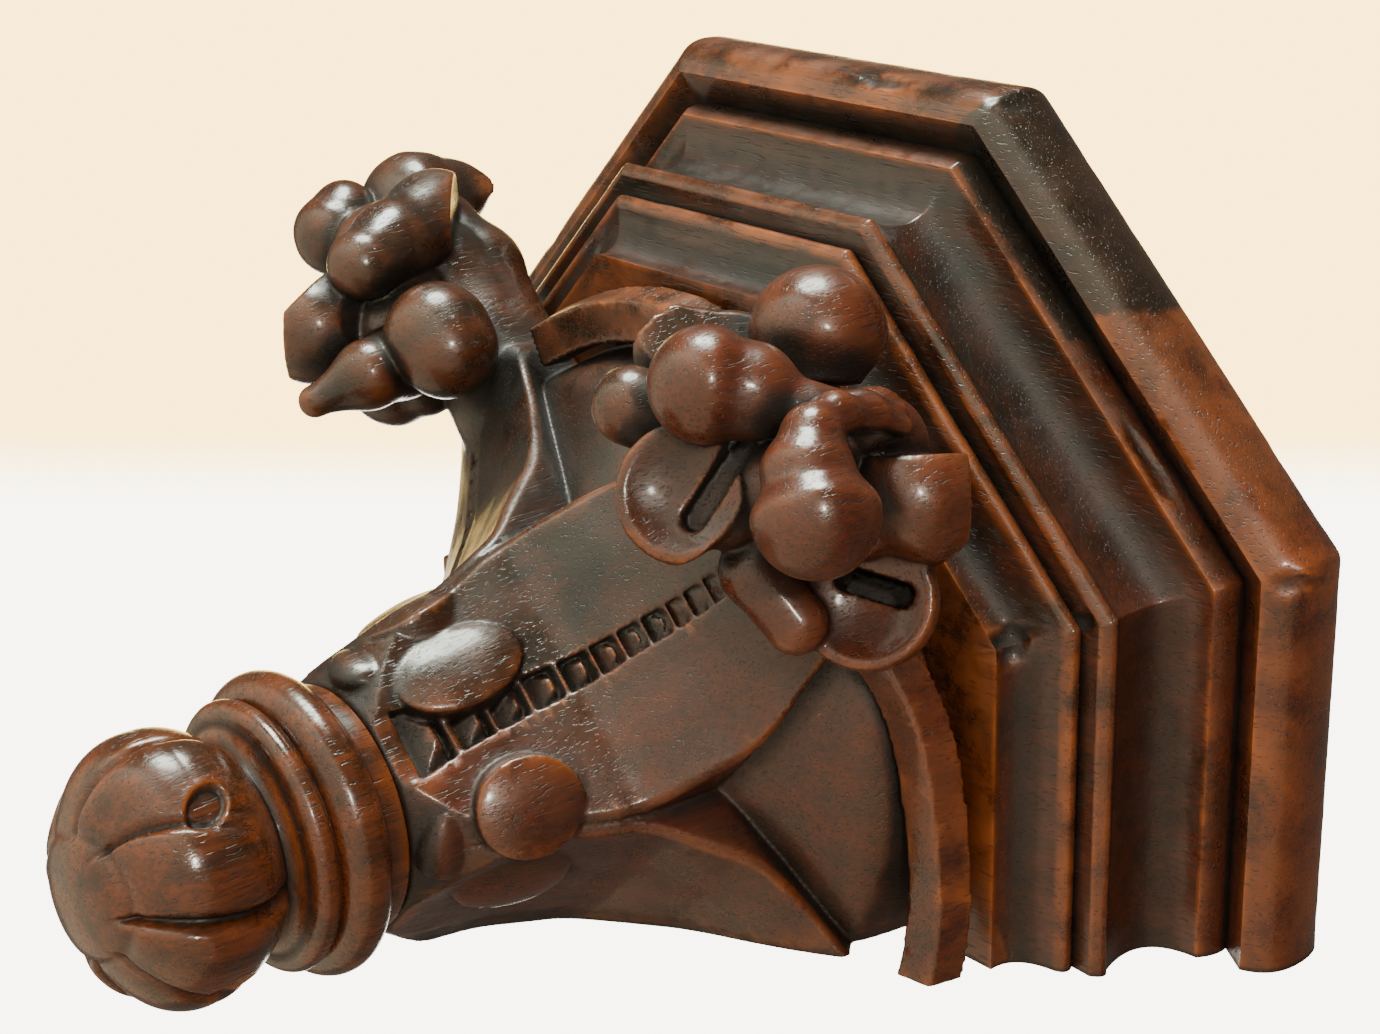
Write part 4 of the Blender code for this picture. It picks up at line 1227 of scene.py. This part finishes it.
    @staticmethod
    def painted_recess_shade(grid: Grid, field_: np.ndarray, points: np.ndarray, normals: np.ndarray) -> np.ndarray:
        """How closely the wood stands round each place, from 0 in the open to 1 in a deep recess; the bracket
        paints it as shade in its recesses.

        Args:
            grid: The block of space.
            field_: The field.
            points: Places on the surface.
            normals: The surface's normals there.

        Returns:
            One value for each place.
        """
        origin = np.array([axis[0] for axis in grid.axes], float)
        limit = np.array(field_.shape) - 1
        total = np.zeros(len(points))
        for far, weight in ((2.5, 0.28), (6.0, 0.32), (12.0, 0.25), (24.0, 0.25)):
            cell = np.clip(np.rint((points + normals * far - origin) / grid.step).astype(int), 0, limit)
            total += weight * np.clip(1.0 - field_[tuple(cell.T)] / far, 0.0, 1.5)
        return smooth_step(0.10, 0.75, total)


@dataclass
class TurnedPendant:
    """Collar, rings and throat turned in one, with the carved bud below."""

    bracket: CarvedBracket
    collar: Pair = (30.5, 6.5)
    ring: Pair = (37.2, 12.5)
    thin_ring: Pair = (33.0, 6.5)
    throat: Pair = (26.5, 4.0)
    bud: Pair = (31.5, 48.9)
    tuck: float = 4.5
    around: int = 330
    bud_rings: int = 150
    last_latitude: float = -88.6
    finish: WaxedOak = field(default_factory=lambda: WaxedOak("waxed_oak_pendant", Grain.UPRIGHT, warmth=0.9,
                                                              gloss=0.25, body=(0.044, 0.0165, 0.0070),
                                                              warm=(0.135, 0.031, 0.0075)))

    def profile(self) -> list[Pair]:
        """The turned part's half section, from the seam down to the bud.

        Returns:
            (radius, height) pairs.
        """
        top = self.bracket.seat - self.bracket.height - self.bracket.gap
        radius, height = self.collar
        points = [(r, top) for r in (4.0, 14.0, 24.0, radius - 1.0)]
        points += bend((radius - 1.0, top), (radius, top), (radius, top - 1.0), 4)
        collar_foot = top - height
        points += [(radius + 0.1, top - height * s) for s in (0.35, 0.55, 0.75, 0.9)]
        ring_foot = collar_foot - self.ring[1]
        thin_foot = ring_foot - self.thin_ring[1]
        for wide, head, foot, steps in ((self.ring[0], collar_foot, ring_foot, 34),
                                        (self.thin_ring[0], ring_foot, thin_foot, 20)):
            half = (head - foot) / 2.0
            for i in range(steps + 1):
                angle = math.radians(84.0 - 168.0 * i / steps)
                points.append((wide - half + half * math.cos(angle),
                               (head + foot) / 2 + half * math.sin(angle)))
        points += [(self.throat[0] + 1.5, thin_foot), (self.throat[0], thin_foot - 0.8)]
        return points

    def carve_bud(self, azimuth: np.ndarray, latitude: np.ndarray) -> np.ndarray:
        """Height of the bud's carving over its plain ball.

        Args:
            azimuth: Bearing in degrees, 0 at the front.
            latitude: Degrees above the bud's middle.

        Returns:
            Height in millimetres.
        """
        lean = 5.0 * np.sin(np.radians(latitude * 1.6))
        turn = (azimuth - 1.0 - lean) % 90.0
        open_ = smooth_step(-66.0, -50.0, latitude)
        edge = np.minimum(turn, 90.0 - turn)
        overlap = 1.3 * smooth_step(0.0, 3.0, turn) * smooth_step(34.0, 6.0, turn)
        border = -2.3 * np.exp(-(edge / 3.2) ** 2) + overlap - 0.5
        middle = turn - 45.0 - 0.22 * (latitude + 20.0)
        cleft = -1.5 * np.exp(-(middle / 2.6) ** 2) * smooth_step(22.0, 0.0, latitude)
        swell = 1.25 * np.sin(np.pi * np.clip(turn / 45.0, 0.0, 1.0)) ** 0.8 * (turn < 45.0)
        swell = swell + 1.5 * np.sin(np.pi * np.clip((turn - 45.0) / 42.0, 0.0, 1.0)) ** 0.8 * (turn >= 45.0)
        swell = swell * np.cos(np.radians(np.clip((latitude + 8.0) * 1.7, -90.0, 90.0)))
        eye = np.hypot((turn - 41.0 + 0.35 * (latitude - 1.0)) / 8.0, (latitude - 1.0) / 12.5)
        hole = -1.7 * smooth_step(1.10, 0.92, eye) + 0.15 * np.exp(-((eye - 1.2) / 0.22) ** 2)
        petals = (border + cleft + swell + hole) * open_
        boss_edge = latitude + 56.0 + 5.0 * np.cos(np.radians(2.0 * (azimuth + 20.0)))
        ring = -0.7 * np.exp(-(boss_edge / 3.4) ** 2)
        boss = 0.8 * smooth_step(4.0, -12.0, boss_edge)
        return petals + ring + boss

    def build(self) -> bpy.types.Object:
        """Turn and carve the pendant.

        Returns:
            The dressed piece.
        """
        turned = self.profile()
        radius, height = self.bud
        thin_foot = turned[-1][1] + 0.8
        middle = thin_foot + self.tuck - height / 2.0
        spread = np.radians(np.linspace(0.0, 360.0, self.around, endpoint=False))
        rings = [np.column_stack([r * np.sin(spread), -r * np.cos(spread), np.full(self.around, z)])
                 for r, z in turned]
        first = math.degrees(math.asin(min(1.0, (thin_foot - 1.8 - middle) / (height / 2.0))))
        for latitude in np.linspace(first, self.last_latitude, self.bud_rings):
            swell = self.carve_bud(np.degrees(spread), np.full(self.around, latitude))
            swell = swell * (1.0 if latitude < first - 10.0 else max(0.0, (first - latitude) / 10.0))
            rise = math.sin(math.radians(latitude))
            square = 1.0 + 0.06 * (1.0 - abs(rise)) * abs(rise)
            flat = math.cos(math.radians(latitude)) * (radius * square + swell)
            deep = rise * (height / 2.0 * square + swell)
            rings.append(np.column_stack([flat * np.sin(spread), -flat * np.cos(spread), middle + deep]))
        points = np.concatenate(rings)
        number = np.arange(len(points)).reshape(len(rings), self.around)
        above, below = number[:-1], number[1:]
        faces = np.stack([above, below, np.roll(below, -1, axis=1), np.roll(above, -1, axis=1)], axis=-1)
        wobble = 0.10 * layered_noise(points, 9.0, 70) * smooth_step(0.0, 3.0, turned[0][1] - points[:, 2])
        points[:, :2] *= (1.0 + wobble / 30.0)[:, None]
        points[:, 1] -= self.bracket.axis_to_wall
        piece = mesh_piece("oak_pendant", points, faces.reshape(-1, 4), (number[0], number[-1][::-1]))
        paint_age(piece, 4, 50, 25)
        paint_value(piece.data, "handled", 0.45 + 0.5 * layered_noise(points, 20.0, 77))
        piece.data.materials.append(self.finish.build())
        return piece


@dataclass
class Studio:
    """The pale floor, the soft lights, the pale surroundings and the camera."""

    position: Triple = (0.4682, -0.3093, -0.4323)
    forward: Triple = (-0.7260, 0.3428, 0.5962)
    right: Triple = (0.6417, 0.0258, 0.7665)
    up: Triple = (-0.2474, -0.9391, 0.2387)
    lens: float = 65.2
    sensor: float = 36.0
    room_light: float = 0.17
    wall_light: float = 7.5
    room_colour: Triple = (1.0, 0.90, 0.74)
    wall_low: Triple = (1.0, 0.96, 0.86)
    wall_high: Triple = (1.0, 0.66, 0.20)
    wall_rise: float = 0.035
    wall_edge: float = 0.9455
    glow_edge: float = 0.925
    tint_edge: float = 0.90
    floor_level: float = -0.56
    floor_half: float = 4.0
    floor_colour: Triple = (0.86, 0.83, 0.77)
    floor_roughness: float = 0.8
    target: Triple = (0.02, -0.08, -0.08)

    # Name, place, width in metres, power in watts and colour of each lamp
    lamps = (("window", (-0.55, 0.75, 0.9), 0.24, 22.0, (1.0, 0.97, 0.90)),
             ("ceiling", (-0.1, 1.5, 0.1), 0.7, 48.0, (0.93, 1.0, 0.88)),
             ("lamp", (0.25, 0.2, 1.2), 0.12, 11.0, (1.0, 0.92, 0.80)))

    def camera(self) -> bpy.types.Object:
        """Put the camera where the photograph was taken from.

        Returns:
            The camera.
        """
        data = bpy.data.cameras.new("view")
        data.lens = self.lens
        data.sensor_width = self.sensor
        data.clip_start, data.clip_end = 0.01, 20.0
        made = bpy.data.objects.new("view", data)
        axes = Matrix((self.right, self.up, tuple(-n for n in self.forward))).transposed().to_4x4()
        axes.translation = Vector(self.position)
        made.matrix_world = axes
        bpy.context.scene.collection.objects.link(made)
        bpy.context.scene.camera = made
        return made

    def light(self, name: str, place: Triple, size: float, power: float, colour: Triple) -> None:
        """Hang one soft lamp, given from the camera's point of view.

        Args:
            name: The lamp's name.
            place: Right, up and towards the camera from the target, in metres.
            size: Width of the lamp.
            power: Its strength in watts.
            colour: Its colour.
        """
        data = bpy.data.lights.new(name, "AREA")
        data.shape = "DISK"
        data.size, data.energy, data.color = size, power, colour
        lamp = bpy.data.objects.new(name, data)
        target = Vector(self.target)
        spot = (target + Vector(self.right) * place[0] + Vector(self.up) * place[1]
                - Vector(self.forward) * place[2])
        lamp.location = spot
        lamp.rotation_mode = "QUATERNION"
        lamp.rotation_quaternion = (target - spot).to_track_quat("-Z", "Y")
        bpy.context.scene.collection.objects.link(lamp)

    def surroundings(self) -> None:
        """A dim warm room with a bright pale wall behind the shelf."""
        world = bpy.data.worlds.new("pale_room")
        world.use_nodes = True
        nodes = Nodes(world.node_tree)
        direction = nodes.add("ShaderNodeTexCoord", {}).outputs["Generated"]
        facing, rising = nodes.dot(direction, self.forward), nodes.dot(direction, self.up)
        wall = nodes.mix(nodes.spread(rising, 0.0, self.wall_rise), self.wall_low, self.wall_high)
        colour = nodes.mix(nodes.spread(facing, self.tint_edge, self.wall_edge), self.room_colour, wall)
        strength = nodes.spread(facing, self.glow_edge, self.wall_edge, self.room_light, self.wall_light)
        background = world.node_tree.nodes["Background"].inputs
        nodes.plug(background["Color"], colour)
        nodes.plug(background["Strength"], strength)
        bpy.context.scene.world = world

    def floor(self) -> bpy.types.Object:
        """Lay the pale floor well below the shelf.

        Returns:
            The floor.
        """
        mesh = bpy.data.meshes.new("pale_floor")
        far = self.floor_half
        corners = ((-far, -far), (far, -far), (far, far), (-far, far))
        mesh.from_pydata([(x, y, self.floor_level) for x, y in corners], [], [(0, 1, 2, 3)])
        floor = bpy.data.objects.new("pale_floor", mesh)
        bpy.context.scene.collection.objects.link(floor)
        paper = bpy.data.materials.new("pale_paper")
        paper.use_nodes = True
        inputs = paper.node_tree.nodes["Principled BSDF"].inputs
        inputs["Base Color"].default_value = (*self.floor_colour, 1.0)
        inputs["Roughness"].default_value = self.floor_roughness
        mesh.materials.append(paper)
        return floor

    def build(self) -> None:
        """Set up everything that isn't the shelf."""
        self.camera()
        self.floor()
        self.surroundings()
        for lamp in self.lamps:
            self.light(*lamp)


def carve_step() -> float:
    return 0.8


def main() -> None:
    """Build the three pieces and the studio."""
    logging.basicConfig(level=logging.INFO, format="%(message)s")
    Studio().build()
    shelf = MouldedShelf()
    bracket = CarvedBracket(shelf)
    pendant = TurnedPendant(bracket)
    for piece, node, slot in ((shelf.build(), "moulded_shelf", "shelf_oak"),
                              (bracket.build(carve_step()), "carved_bracket", "bracket_oak"),
                              (pendant.build(), "turned_pendant", "pendant_oak")):
        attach(piece, ROOT)
        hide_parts(node)
        count = sum(len(face.vertices) - 2 for face in piece.data.polygons)
        log.info("%s: %d triangles", piece.name, count)


if __name__ == "__main__":
    main()
